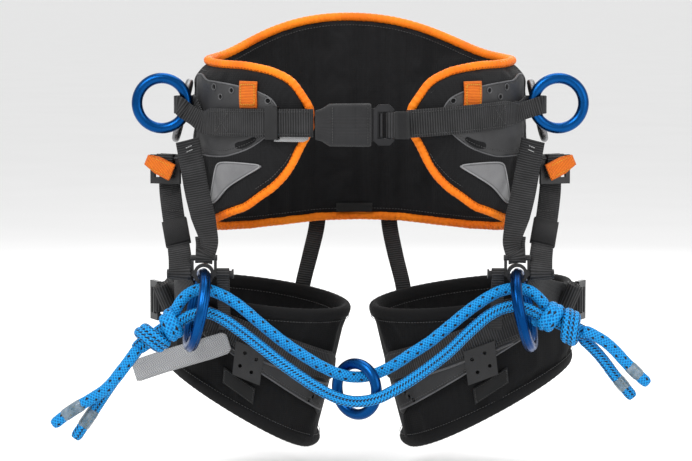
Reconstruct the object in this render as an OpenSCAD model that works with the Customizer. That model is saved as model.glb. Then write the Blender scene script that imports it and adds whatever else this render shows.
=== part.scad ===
// Tree-climbing saddle harness: padded waist belt, two leg loops and a rope bridge.
// +X is the wearer's left as seen from the front, +Y is the wearer's back, +Z is up.

/* [Waist belt] */
// Half width of the belt, to the middle of the pad
waist_a = 172; // [168:1:176]
// Half depth of the belt, to the middle of the pad
waist_b = 118; // [115:1:121]
// Thickness of the padded belt
pad_t = 12; // [8:1:12]
// Radius of the sewn edge piping
piping_r = 4.5; // [3.5:0.5:5]
// Width of the waist webbing
belt_w = 29; // [25:1:30]

/* [Rings] */
// Radius of the side and centre rings, to the middle of the tube
ring_r = 26.5; // [26:0.5:27]
// Tube radius of the side and centre rings
ring_tube_r = 5.75; // [5:0.25:5.75]
// Radius of the bridge rings, to the middle of the tube
bridge_r = 38.5; // [38:0.5:39]
// Tube radius of the bridge rings
bridge_tube_r = 6; // [5.5:0.25:6]
// Lean of the bridge rings, foot outwards
bridge_lean = 11.5; // [10:0.5:13]
// Turn of the bridge rings about the vertical, front edge inwards
bridge_yaw = 10; // [8:1:12]

/* [Rope bridge] */
// Radius of the rope
rope_r = 6; // [5:0.5:6]
// Radius of a stopper knot
knot_r = 19; // [16:1:19]

/* [Leg loops] */
// Thickness of the padded leg loop
leg_t = 10; // [8:1:10]
// Half depth of a leg loop, to the middle of the pad
leg_b = 78; // [74:1:80]
// Width of the leg webbing
leg_w = 30; // [26:1:32]

/* [Straps] */
// Width of the drop straps
drop_w = 24; // [22:1:26]
// Thickness of all webbing
web_t = 2.2; // [1.6:0.2:2.2]

/* [Hidden] */

EPS = 0.01;
ORANGE = [1, 0.5, 0.08];
BLACK = [0.08, 0.08, 0.08];
WEBBING = [0.2, 0.2, 0.2];
BLUE = [0.05, 0.3, 0.6];
ROPE = [0.1, 0.55, 0.9];
STEEL = [0.5, 0.5, 0.52];
PALE = [0.62, 0.62, 0.62];
PLATE = [0.25, 0.25, 0.26];

// Pad: end angle, turn of its back to the left, and heights of its rims by angle
PAD_END = 160.5;
pad_skew = 4;
PAD_TOP = [[0, 111.5], [10, 110], [20, 105], [30, 96.5], [40, 86], [50, 76], [60, 70], [75, 67],
    [100, 65], [121, 63], [134, 62.5], [145, 58.5], [151, 54], [156, 44], [160.5, 27]];
PAD_FOOT = [[0, -104], [15, -105], [30, -109], [45, -111.5], [60, -111], [90, -105], [115, -95],
    [136, -78], [148.5, -56], [154.5, -38], [160.5, -4]];

// Front buckle
buckle_y = -132;
buckle_z = 6;
bar_x = 31.5;
bar_r = 2.6;
frame_w = 21.5;
frame_h = 42;
frame_t = 4.5;
window_h = 28;
// Side rings, hip rings and the connectors that the bridge rings hang in
side_ring_at = [210, -45, 25];
side_loop_at = [186, -45];
side_loop_r = 9.3;
hip_ring_at = [190, -14, 16];
hip_ring_half = 17;
hip_ring_r = 14;
hip_ring_tube_r = 4;
link_at = [163, -112, -150];
link_bar_r = 3.5;
link_eye_r = 7.5;
link_top = 17;
link_t = 7;
centre_ring_at = [-4, -128, -268.5];
centre_ring_yaw = -40;
// Drop strap adjusters: the top bar they hang on, and the turn of their face
adjuster_at = [207, -38, -34];
adjuster_turn = 20;
adjuster_bar_r = 2.5;
adjuster_w = 34;
// Leg loops, [left, right]: middle and half width
LEG_X = [110, 119];
LEG_A = [98, 107];
leg_y = 17;
leg_bar_r = 2.4;

FRONT_ROUTE = [[183, -50, -14], [177, -62, -42], [171, -76, -70], [165, -93, -98],
    [163, -106, -120], [163, -111.5, -130]];
REAR_ROUTE = [[201, -24, -26], [203, -26, -48], [203, -31, -66], [197, -57, -95],
    [191, -84, -122], [188, -101, -137], [188, -109, -144.4]];
BACK_ROUTE_RIGHT = [[32, 129.5, -92], [34, 125.5, -120], [40, 109, -150], [48, 87, -182],
    [51, 84, -207]];
BACK_ROUTE_LEFT = [[46, 129.5, -92], [48, 125.5, -120], [55, 111, -150], [63, 97, -182],
    [66, 94.5, -207]];
TAIL_ROUTE = [[-139, -73, -226], [-158, -76, -232], [-180, -71, -239], [-210, -72, -248],
    [-239, -79, -257]];

ROPE_UPPER = [[-194, -128, -192], [-187, -126, -178], [-176, -123, -168], [-161, -122, -165],
    [-141, -124, -172], [-124, -126, -183], [-104, -127, -200], [-83, -128, -217],
    [-63, -128, -231], [-42, -128, -244], [-22, -128, -253], [-4, -128, -256], [14, -128, -253],
    [32, -128, -245], [52, -128, -232], [72, -128, -219], [92, -127, -203], [113, -126, -186],
    [134, -124, -172], [148, -122, -166], [161, -122, -164], [176, -123, -167],
    [187, -126, -176], [194, -128, -186]];
ROPE_LOWER = [[-194, -134, -203], [-178, -132, -192], [-160, -132, -188], [-142, -134, -195],
    [-124, -137, -207], [-104, -141, -222], [-83, -146, -238], [-63, -150, -252],
    [-42, -155, -265], [-22, -159, -274], [-3, -160, -277], [16, -159, -274], [30, -157, -268],
    [50, -152, -257], [71, -147, -243], [92, -141, -227], [113, -137, -207], [134, -134, -190],
    [154, -132, -182], [172, -132, -184], [194, -134, -196]];
KNOT_LEFT = [[-196, -129, -201], [-234, -133, -227]];
KNOT_RIGHT = [[196, -129, -193], [236, -133, -212]];
TAIL_LEFT_UPPER = [[-230, -140, -224], [-240, -141, -238], [-252, -141, -254],
    [-264, -140, -267], [-277, -138, -276], [-290, -137, -284], [-305, -136, -294],
    [-319, -135, -305]];
TAIL_LEFT_LOWER = [[-230, -126, -226], [-240, -125, -239], [-252, -125, -254],
    [-264, -125, -271], [-272, -126, -283], [-280, -127, -295], [-289, -129, -308],
    [-297, -130, -320]];
TAIL_RIGHT_UPPER = [[230, -140, -205], [240, -140, -210], [253, -139, -218], [264, -138, -228],
    [274, -137, -239], [286, -136, -251], [298, -135, -262]];
TAIL_RIGHT_LOWER = [[229, -126, -215], [237, -126, -222], [246, -127, -231], [255, -128, -242],
    [263, -129, -253], [273, -130, -265], [283, -131, -277]];

function unit(v) = v / norm(v);
function waist_point(t, r, z) = [(waist_a + r) * sin(t), (waist_b + r) * cos(t), z];
function pad_top(t) = lookup(abs(t + pad_skew * (1 + cos(t)) / 2), PAD_TOP);
function rim_lean(t) = 9 * pow(sin(t), 4);
function pad_foot(t) = lookup(abs(t), PAD_FOOT);
function steps(from, to, n) = [for (i = [0:n]) from + (to - from) * i / n];

// Leg: angle from the outer side round the back, side 0 left or 1 right, both drawn at +X
function leg_lean(u, z) = 0.125 * (-187 - z) * (1 - cos(u));
function leg_point(side, u, r, z) = [
    LEG_X[side] + (LEG_A[side] + r) * cos(u) + leg_lean(u, z), leg_y + (leg_b + r) * sin(u), z];
function leg_top(u) = -187 + 13 * cos(u) + 6 * sin(u);
function leg_foot(u) = -299 + 46 * cos(u) + 6 * sin(u);
function leg_band_z(u) = -223 + 40 * cos(u);
function leg_panel_foot(u) = -252 + 61 * cos(u);

function tangent(path, i, closed = false) = let(
    m = len(path),
    before = closed ? path[(i + m - 1) % m] : path[max(i - 1, 0)],
    after = closed ? path[(i + 1) % m] : path[min(i + 1, m - 1)]
) unit(after - before);

// Rings of points whose order turns right-handed about the way they are swept
function tube_rings(path, r, n, closed = false, aim = [0, 1, 0]) = [for (i = [0:len(path) - 1]) let(
    along = tangent(path, i, closed),
    across = unit(cross(aim, along)),
    over = cross(along, across)
) [for (j = [0:n - 1]) path[i] + r * (cos(360 * j / n) * across + sin(360 * j / n) * over)]];

function strap_rings(path, wide, w, t, twist = [0, 0, 0]) = [for (i = [0:len(path) - 1]) let(
    along = tangent(path, i),
    lie = wide + twist * i / (len(path) - 1),
    side = unit(lie - along * (lie * along)),
    face = cross(along, side)
) [path[i] - side * w / 2 - face * t / 2, path[i] + side * w / 2 - face * t / 2,
    path[i] + side * w / 2 + face * t / 2, path[i] - side * w / 2 + face * t / 2]];

module skin(rings, closed = false) {
    n = len(rings[0]);
    m = len(rings);
    spans = closed ? m : m - 1;
    sides = [for (i = [0:spans - 1], j = [0:n - 1]) let(
        a = i * n + j,
        b = i * n + (j + 1) % n,
        c = (i + 1) % m * n + j,
        d = (i + 1) % m * n + (j + 1) % n
    ) each [[a, c, b], [b, c, d]]];
    start = [for (j = [0:n - 1]) j];
    end = [for (j = [n - 1:-1:0]) (m - 1) * n + j];
    caps = closed ? [] : [start, end];
    polyhedron(points = [for (ring = rings) each ring], faces = concat(sides, caps));
}

// A band wrapped round the waist from angle t0 to t1, between two heights and two offsets
module waist_band(t0, t1, n, foot, top, r0, r1) {
    skin([for (t = steps(t0, t1, n)) [waist_point(t, r0, foot(t)), waist_point(t, r1, foot(t)),
        waist_point(t, r1, top(t)), waist_point(t, r0, top(t))]]);
}

// The same round a leg
module leg_band(side, u0, u1, n, foot, top, r0, r1) {
    skin([for (u = steps(u0, u1, n)) [leg_point(side, u, r0, foot(u)),
        leg_point(side, u, r0, top(u)), leg_point(side, u, r1, top(u)),
        leg_point(side, u, r1, foot(u))]]);
}

module at_left() mirror([1, 0, 0]) children();
module both_sides() {
    children();
    at_left() children();
}

// Drill square to the belt at an angle and a height
module waist_drill(t, z, r) {
    translate(waist_point(t, 8, z))
        rotate([0, 0, atan2((waist_a + 8) * cos(t), (waist_b + 8) * sin(t))])
        rotate([0, 90, 0])
        cylinder(r = r, h = 14, center = true, $fn = 32);
}

module torus(radius, tube) {
    rotate_extrude($fn = 72) translate([radius, 0]) circle(r = tube, $fn = 32);
}

module along_x(r, h) rotate([0, 90, 0]) cylinder(r = r, h = h, $fn = 32);

// ---- Belt ----
module back_pad() {
    half = pad_t / 2;
    color(BLACK) skin([for (t = steps(-PAD_END, PAD_END, 54)) [
        waist_point(t, -half, pad_foot(t) + 6), waist_point(t, -2, pad_foot(t)),
        waist_point(t, 2, pad_foot(t)), waist_point(t, half, pad_foot(t) + 6),
        waist_point(t, half, pad_top(t) - 18), waist_point(t, half - rim_lean(t) * 0.7, pad_top(t) - 6),
        waist_point(t, 2 - rim_lean(t), pad_top(t)), waist_point(t, -2 - rim_lean(t), pad_top(t)),
        waist_point(t, -half - rim_lean(t) * 0.7, pad_top(t) - 6),
        waist_point(t, -half, pad_top(t) - 18)]]);
}

module edge_piping() {
    lift = piping_r - 1;
    over = [for (t = steps(-PAD_END, PAD_END, 54)) waist_point(t, -rim_lean(t), pad_top(t) + lift)];
    tip = [for (z = [20, 11, 2]) waist_point(PAD_END + 1.7, 0, z)];
    under = [for (t = steps(PAD_END, -PAD_END, 54)) waist_point(t, 0, pad_foot(t) - lift)];
    far_tip = [for (z = [2, 11, 20]) waist_point(-PAD_END - 1.7, 0, z)];
    path = concat(over, tip, under, far_tip);
    rings = [for (i = [0:len(path) - 1]) let(
        along = tangent(path, i, true),
        out = [path[i].x / waist_a, path[i].y / waist_b, 0],
        across = unit(out - along * (out * along)),
        over_it = cross(along, across)
    ) [for (j = [0:7]) path[i] + piping_r * (cos(45 * j) * across + sin(45 * j) * over_it)]];
    color(ORANGE) skin(rings, closed = true);
}

module back_label() {
    color(WEBBING) waist_band(-9, 5, 4, function(t) -103, function(t) -93,
        -pad_t / 2 - 2, -pad_t / 2 - 0.6);
}

module hip_plate() {
    foot = [[106.5, -28], [120, -30], [132, -27], [144, -14], [150, 0], [153, 10]];
    top = [[106.5, 54], [112, 56], [116, 50], [130, 47], [142, 41], [149, 33], [153, 22]];
    color(PLATE) difference() {
        waist_band(106.5, 153, 14, function(t) lookup(t, foot), function(t) lookup(t, top),
            pad_t / 2 + 0.5, pad_t / 2 + 3.5);
        waist_drill(122, 43, 2.6);
        waist_drill(132, 40, 2.2);
        waist_drill(126, 33, 2.2);
        waist_drill(148, 30, 2.2);
        waist_drill(137, -16, 3.5);
        waist_drill(141, -14, 3.5);
    }
}

module hip_badges() {
    foot = [[118, -82], [147, -40]];
    top = [[118, -78], [126, -34], [147, -36]];
    color(STEEL) both_sides() waist_band(118, 147, 8, function(t) lookup(t, foot),
        function(t) lookup(t, top), pad_t / 2 + 0.5, pad_t / 2 + 4.5);
}

module gear_tabs() {
    color(ORANGE) both_sides() waist_band(136, 144.5, 3, function(t) 22, function(t) 50,
        pad_t / 2 + 4, pad_t / 2 + 6.8);
}

module waist_webbing(z_ring, z_front) {
    mid = function(t) lookup(t, [[113, z_ring], [165, z_front]]);
    color(WEBBING) waist_band(113, 165, 15, function(t) mid(t) - belt_w / 2,
        function(t) mid(t) + belt_w / 2, 15.5, 15.5 + web_t);
}

module waist_keeper() {
    color(BLACK) at_left() difference() {
        waist_band(148.8, 153.2, 2, function(t) 7.5 - 17.2, function(t) 7.5 + 17.2, 13.6, 19.6);
        waist_band(148.3, 153.7, 2, function(t) 7.5 - 15.3, function(t) 7.5 + 15.3, 14.8, 18.4);
    }
}

module waist_strap_tail() {
    color(PALE) at_left() waist_band(151, 163, 5, function(t) -12, function(t) 10, 11.2, 13);
}

module buckle_cover() {
    outline = [[-46.5, 15, 3.5], [-40, 17, 4.5], [-31, 22.5, 5.5], [9, 22.5, 5.5], [11, 21, 4.5]];
    color(PLATE) skin([for (s = outline) [
        [s.x, buckle_y - s.z, buckle_z - s.y], [s.x, buckle_y + s.z, buckle_z - s.y],
        [s.x, buckle_y + s.z, buckle_z + s.y], [s.x, buckle_y - s.z, buckle_z + s.y]]]);
}

module waist_buckle_frame() {
    left = 13.2;
    cut = 5;
    top = frame_h / 2;
    outline = [[left + cut, -top], [left + frame_w - cut, -top], [left + frame_w, -top + cut],
        [left + frame_w, top - cut], [left + frame_w - cut, top], [left + cut, top],
        [left, top - cut], [left, -top + cut]];
    color(STEEL) translate([0, buckle_y, buckle_z]) {
        difference() {
            rotate([90, 0, 0]) linear_extrude(frame_t, center = true) polygon(outline);
            translate([left + 4, -frame_t, -window_h / 2]) cube([40, frame_t * 2, window_h]);
        }
        translate([bar_x, 0, -window_h / 2 - 1]) cylinder(r = bar_r, h = window_h + 2, $fn = 32);
    }
}

module waist_buckle_latch() {
    color(STEEL) translate([0, buckle_y, buckle_z]) {
        translate([11.2, 3, -17]) cube([12, 3, 34]);
        translate([21.2, 1, -12]) cylinder(r = 2, h = 24, $fn = 32);
        translate([20.2, 1, -12]) cube([2, 3, 24]);
    }
}

module waist_sleeve() {
    outer = bar_r + 0.4 + web_t;
    color(WEBBING) translate([0, buckle_y, buckle_z - window_h / 2 + 0.5]) difference() {
        union() {
            translate([bar_x, 0, 0]) cylinder(r = outer, h = window_h - 1, $fn = 32);
            translate([bar_x, -outer + 1, 0]) cube([48 - bar_x, outer * 2 - 2, window_h - 1]);
        }
        translate([bar_x, 0, -1]) cylinder(r = bar_r + 0.4, h = window_h + 2, $fn = 32);
    }
}

module hip_ring() {
    translate(hip_ring_at) rotate([0, -14, 0]) for (turn = [0, 180]) rotate([turn, 0, 0]) {
        translate([0, 0, hip_ring_half]) rotate([90, 0, 90])
            rotate_extrude(angle = 180, $fn = 48) translate([hip_ring_r, 0])
            circle(r = hip_ring_tube_r, $fn = 32);
        translate([0, hip_ring_r, -hip_ring_half - EPS])
            cylinder(r = hip_ring_tube_r, h = hip_ring_half * 2 + 2 * EPS, $fn = 32);
    }
}

module hip_rings() {
    color(STEEL) both_sides() hip_ring();
}

module side_ring() {
    color(BLUE) translate(side_ring_at) rotate([90, 0, 0]) torus(ring_r, ring_tube_r);
}

module side_ring_loops() {
    color(WEBBING) both_sides() translate([side_loop_at.x, side_loop_at.y, 13]) difference() {
        union() {
            cylinder(r = side_loop_r + web_t, h = 21, $fn = 48);
            rotate([0, 0, -150]) translate([side_loop_r, -3, 0]) cube([5, 6, 21]);
        }
        translate([0, 0, -1]) cylinder(r = side_loop_r, h = 23, $fn = 48);
    }
}

// ---- Drop straps ----
module drop_strap_front() {
    outer = 3 + 0.3 + web_t;
    color(WEBBING) {
        skin(strap_rings(FRONT_ROUTE, [0.94, 0.2, 0], drop_w - 4, web_t));
        translate(link_at + [-10, 0, link_top]) difference() {
            along_x(outer, 20);
            translate([-1, 0, 0]) along_x(3.3, 22);
        }
    }
}

module drop_strap_rear() {
    outer = link_bar_r + 0.3 + web_t;
    color(WEBBING) {
        skin(strap_rings(REAR_ROUTE, [0.97, 0.2, 0], drop_w, web_t));
        translate([link_at.x + 13.8, link_at.y, link_at.z]) difference() {
            along_x(outer, 22);
            translate([-1, 0, 0]) along_x(link_bar_r + 0.3, 25);
        }
    }
}

module drop_keepers() {
    top = REAR_ROUTE[3] * 0.8 + REAR_ROUTE[4] * 0.2;
    foot = REAR_ROUTE[3] * 0.25 + REAR_ROUTE[4] * 0.75;
    path = [top, foot];
    long = [top * 1.2 - foot * 0.2, foot * 1.2 - top * 0.2];
    color(BLACK) both_sides() difference() {
        skin(strap_rings(path, [0.97, 0.2, 0], 28.5, 7.5));
        skin(strap_rings(long, [0.97, 0.2, 0], 25.2, 4.4));
    }
}

module adjuster_frame() {
    translate(adjuster_at) rotate([0, 0, adjuster_turn]) children();
}

module drop_buckle() {
    drop = 27;
    color(BLACK) adjuster_frame() {
        difference() {
            translate([-adjuster_w / 2, -2, -drop]) cube([adjuster_w, 4, drop + 4]);
            translate([-12, -3, -7.5]) cube([24, 6, 15]);
            translate([-12, -3, -20]) cube([24, 6, 7]);
        }
        translate([-adjuster_w / 2 + 2, 0, 0]) along_x(adjuster_bar_r, adjuster_w - 4);
    }
}

module pull_tab() {
    color(ORANGE) adjuster_frame() {
        translate([-9, -10.4, -23]) rotate([0, -24, 0]) cube([34, 5.2, 17]);
        translate([14, -2, -12]) rotate([90, 0, 0]) cylinder(r = 2.5, h = 5, $fn = 32);
    }
}

module drop_buckle_loops() {
    hole = adjuster_bar_r + 0.4;
    color(WEBBING) both_sides() adjuster_frame() difference() {
        union() {
            translate([-10, 0, 0]) along_x(hole + 1.6, 20);
            translate([-10, hole, -3.5]) cube([20, 2.2, 7]);
        }
        translate([-11, 0, 0]) along_x(hole, 22);
    }
}

module lower_link() {
    translate(link_at) {
        difference() {
            union() {
                rotate([90, 0, 0]) cylinder(r = 11, h = link_t, center = true, $fn = 48);
                for (x = [-13.5, 10.5]) translate([x, -2, 2]) cube([3, 4, link_top - 2]);
                translate([-13, -link_t / 2, -2]) cube([26, link_t, 5]);
            }
            rotate([90, 0, 0]) cylinder(r = link_eye_r, h = link_t + 2, center = true, $fn = 48);
        }
        translate([-14, 0, link_top]) along_x(3, 28);
        translate([11, 0, 0]) along_x(link_bar_r, 26);
        translate([-31, 0, 0]) along_x(link_bar_r, 20);
        translate([36.4, 0, 0]) along_x(5, 2);
        translate([-31, 0, 0]) along_x(5, 2);
    }
}

module lower_links() {
    color(STEEL) both_sides() lower_link();
}

module bridge_ring() {
    color(BLUE) translate(link_at) rotate([0, 0, -bridge_yaw]) rotate([0, -bridge_lean, 0])
        translate([0, 0, -bridge_r]) rotate([0, 90, 0]) torus(bridge_r, bridge_tube_r);
}

// ---- Rope bridge ----
module rope(path) {
    color(ROPE) skin(tube_rings(path, rope_r, 10));
}

module knot(ends) {
    way = ends[1] - ends[0];
    length = norm(way);
    color(ROPE) translate(ends[0]) rotate([0, acos(way.z / length), atan2(way.y, way.x)]) {
        translate([0, 0, 5]) cylinder(r = knot_r, h = length - 10, $fn = 32);
        cylinder(r1 = knot_r - 5, r2 = knot_r, h = 5, $fn = 32);
        translate([0, 0, length - 5]) cylinder(r1 = knot_r, r2 = knot_r - 5, h = 5, $fn = 32);
    }
}

module stopper_knots() {
    knot(KNOT_LEFT);
    knot(KNOT_RIGHT);
}

module tail_band(path) {
    n = len(path);
    a = path[n - 3] * 0.3 + path[n - 2] * 0.7;
    b = path[n - 2] * 0.4 + path[n - 1] * 0.6;
    color(PALE) difference() {
        skin(tube_rings([a, b], rope_r + 1.3, 10));
        skin(tube_rings(path, rope_r + 0.1, 10));
    }
}

module tail_bands() {
    for (path = [TAIL_LEFT_UPPER, TAIL_LEFT_LOWER, TAIL_RIGHT_UPPER, TAIL_RIGHT_LOWER])
        tail_band(path);
}

module centre_ring() {
    color(BLUE) translate(centre_ring_at) rotate([0, 0, centre_ring_yaw]) rotate([90, 0, 0])
        torus(ring_r, ring_tube_r);
}

// ---- Leg loops, drawn at +X ----
module leg_pad(side) {
    half = leg_t / 2;
    color(BLACK) skin([for (i = [0:35]) let(u = i * 10) [
        leg_point(side, u, -half, leg_foot(u) + 5), leg_point(side, u, -half, leg_top(u) - 5),
        leg_point(side, u, -1.5, leg_top(u)), leg_point(side, u, 1.5, leg_top(u)),
        leg_point(side, u, half, leg_top(u) - 5), leg_point(side, u, half, leg_foot(u) + 5),
        leg_point(side, u, 1.5, leg_foot(u)), leg_point(side, u, -1.5, leg_foot(u))]],
        closed = true);
}

module leg_panel(side) {
    color(PLATE) leg_band(side, 204, 302, 14, function(u) leg_panel_foot(u),
        function(u) leg_band_z(u) + 8, leg_t / 2 + 1, leg_t / 2 + 3.4);
}

module leg_plate(side) {
    color(BLACK) difference() {
        leg_band(side, 262, 279, 4, function(u) leg_band_z(u) - 44,
            function(u) leg_band_z(u) - 8, leg_t / 2 + 7.2, leg_t / 2 + 9.6);
        for (hole = [[266, -19], [273, -17], [268, -34], [275, -32]])
            translate(leg_point(side, hole[0], 13, leg_band_z(hole[0]) + hole[1]))
            rotate([0, 0, hole[0]]) rotate([0, 90, 0])
            cylinder(r = 2, h = 12, center = true, $fn = 24);
    }
}

module leg_webbing(side) {
    hole = link_bar_r + 0.4;
    bar = leg_bar_at(side);
    color(WEBBING) {
        leg_band(side, 203, 346, 26, function(u) leg_band_z(u) - leg_w / 2,
            function(u) leg_band_z(u) + leg_w / 2, leg_t / 2 + 4.5, leg_t / 2 + 4.5 + web_t);
        skin(strap_rings([[143, -112, -155], [143, -101, -176], [143, -82, -196],
            [143, -68, -212]], [1, 0, 0], 13, web_t));
        translate([136.5, link_at.y, link_at.z]) difference() {
            along_x(hole + 1.8, 13);
            translate([-1, 0, 0]) along_x(hole, 15);
        }
        translate([bar.x, bar.y, bar.z - 12]) rotate([0, 0, 336]) difference() {
            union() {
                cylinder(r = leg_bar_r + 2, h = 24, $fn = 32);
                translate([-9, -3, 0]) cube([8, 6, 24]);
            }
            translate([0, 0, -1]) cylinder(r = leg_bar_r + 0.4, h = 26, $fn = 32);
        }
    }
}

function leg_bar_at(side) = leg_point(side, 336, 19, -188);

module leg_buckle(side) {
    reach = 22;
    color(BLACK) translate(leg_bar_at(side)) rotate([0, 0, 336]) {
        difference() {
            translate([-2.5, -4, -21]) cube([5, reach, 42]);
            translate([-4, -5, -14]) cube([8, 12, 28]);
            translate([-4, 10, -14]) cube([8, 4, 28]);
        }
        translate([0, 0, -16]) cylinder(r = leg_bar_r, h = 32, $fn = 32);
    }
}

module leg_roll(side) {
    color(WEBBING) translate(leg_point(side, 322, leg_t / 2 + 21, -180)) rotate([12, 22, 0])
        difference() {
            cylinder(r = 9, h = 28, center = true, $fn = 48);
            cylinder(r = 3, h = 30, center = true, $fn = 32);
        }
}

module leg_strap_tail() {
    color(PALE) skin(strap_rings(TAIL_ROUTE, [0.2, 0, 1], 24, 1.8));
}

module leg_label(side) {
    color(WEBBING) leg_band(side, 264, 286, 4, function(u) leg_panel_foot(u) - 36,
        function(u) leg_panel_foot(u) - 19, leg_t / 2 + 0.3, leg_t / 2 + 1.6);
}

module rear_strap(path) {
    color(WEBBING) skin(strap_rings(path, [1, -0.15, 0], 18, 1.8, [0, 0.6, 0]));
}

module rear_adjuster(at) {
    translate(at) rotate([-10, 0, -4]) difference() {
        cube([25, 7.4, 10], center = true);
        cube([20, 4.4, 12], center = true);
    }
}

module rear_adjusters() {
    color(BLACK) {
        rear_adjuster([33.2, 127.3, -108]);
        at_left() rear_adjuster([47.2, 127.3, -108]);
    }
}

back_pad();
edge_piping();
back_label();
at_left() hip_plate();  // hip_plate_left
hip_plate();  // hip_plate_right
hip_badges();
gear_tabs();
at_left() waist_webbing(6, 8);  // waist_webbing_left
waist_webbing(17, 7);  // waist_webbing_right
waist_keeper();
waist_strap_tail();
buckle_cover();
waist_buckle_frame();
waist_buckle_latch();
waist_sleeve();
hip_rings();
at_left() side_ring();  // side_ring_left
side_ring();  // side_ring_right
side_ring_loops();
at_left() drop_strap_front();  // drop_strap_front_left
drop_strap_front();  // drop_strap_front_right
at_left() drop_strap_rear();  // drop_strap_rear_left
drop_strap_rear();  // drop_strap_rear_right
drop_keepers();
at_left() drop_buckle();  // drop_buckle_left
drop_buckle();  // drop_buckle_right
at_left() pull_tab();  // pull_tab_left
pull_tab();  // pull_tab_right
drop_buckle_loops();
lower_links();
at_left() bridge_ring();  // bridge_ring_left
bridge_ring();  // bridge_ring_right
rope(ROPE_UPPER);  // bridge_rope_upper
rope(ROPE_LOWER);  // bridge_rope_lower
stopper_knots();
rope(TAIL_LEFT_UPPER);  // rope_tail_left_upper
rope(TAIL_LEFT_LOWER);  // rope_tail_left_lower
rope(TAIL_RIGHT_UPPER);  // rope_tail_right_upper
rope(TAIL_RIGHT_LOWER);  // rope_tail_right_lower
tail_bands();
centre_ring();
at_left() leg_pad(0);  // leg_pad_left
leg_pad(1);  // leg_pad_right
at_left() leg_panel(0);  // leg_panel_left
leg_panel(1);  // leg_panel_right
at_left() leg_plate(0);  // leg_plate_left
leg_plate(1);  // leg_plate_right
at_left() leg_webbing(0);  // leg_webbing_left
leg_webbing(1);  // leg_webbing_right
at_left() leg_buckle(0);  // leg_buckle_left
leg_buckle(1);  // leg_buckle_right
at_left() leg_roll(0);  // leg_roll_left
leg_roll(1);  // leg_roll_right
leg_strap_tail();
at_left() leg_label(0);  // leg_label_left
leg_label(1);  // leg_label_right
at_left() rear_strap(BACK_ROUTE_LEFT);  // rear_strap_left
rear_strap(BACK_ROUTE_RIGHT);  // rear_strap_right
rear_adjusters();
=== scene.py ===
import math
import random

import bpy
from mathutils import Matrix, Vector
from mathutils.geometry import delaunay_2d_cdt


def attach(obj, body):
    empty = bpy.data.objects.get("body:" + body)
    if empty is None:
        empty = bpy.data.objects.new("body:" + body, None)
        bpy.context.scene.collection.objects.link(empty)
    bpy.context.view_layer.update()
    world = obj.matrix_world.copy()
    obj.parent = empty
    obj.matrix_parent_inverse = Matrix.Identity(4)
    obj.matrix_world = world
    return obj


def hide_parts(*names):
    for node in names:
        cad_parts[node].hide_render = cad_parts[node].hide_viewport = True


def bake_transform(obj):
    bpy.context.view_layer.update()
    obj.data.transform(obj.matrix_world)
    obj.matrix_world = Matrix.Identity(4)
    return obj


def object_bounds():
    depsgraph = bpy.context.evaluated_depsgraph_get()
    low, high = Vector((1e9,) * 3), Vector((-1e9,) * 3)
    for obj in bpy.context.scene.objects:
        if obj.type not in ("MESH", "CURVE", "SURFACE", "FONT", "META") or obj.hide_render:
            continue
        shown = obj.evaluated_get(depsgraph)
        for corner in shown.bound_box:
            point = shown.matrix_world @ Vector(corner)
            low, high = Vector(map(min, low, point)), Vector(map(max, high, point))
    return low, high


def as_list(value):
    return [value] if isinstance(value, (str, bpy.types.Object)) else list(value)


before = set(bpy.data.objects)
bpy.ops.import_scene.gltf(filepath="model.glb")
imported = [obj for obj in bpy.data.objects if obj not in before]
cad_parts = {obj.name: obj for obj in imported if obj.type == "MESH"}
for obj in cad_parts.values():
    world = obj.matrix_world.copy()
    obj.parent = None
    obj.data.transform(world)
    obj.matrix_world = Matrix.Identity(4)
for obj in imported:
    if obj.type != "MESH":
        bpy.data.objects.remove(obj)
CAD_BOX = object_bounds()
scene = bpy.context.scene
scene.view_settings.view_transform = "Standard"
MM = 0.001
UP = Vector((0, 0, 1))

# ---- Camera: level with the thighs, a little above, at the photo's angle ----
TARGET = Vector((-0.0151, 0, -0.1144))
DISTANCE, PITCH, LENS = 3.0, 5, 144.5
camera = bpy.data.objects.new("camera", bpy.data.cameras.new("camera"))
scene.collection.objects.link(camera)
camera.location = TARGET + DISTANCE * Vector((0, -math.cos(math.radians(PITCH)),
                                              math.sin(math.radians(PITCH))))
camera.rotation_euler = (math.radians(90 - PITCH), 0, 0)
camera.data.lens = LENS
scene.camera = camera


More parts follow.
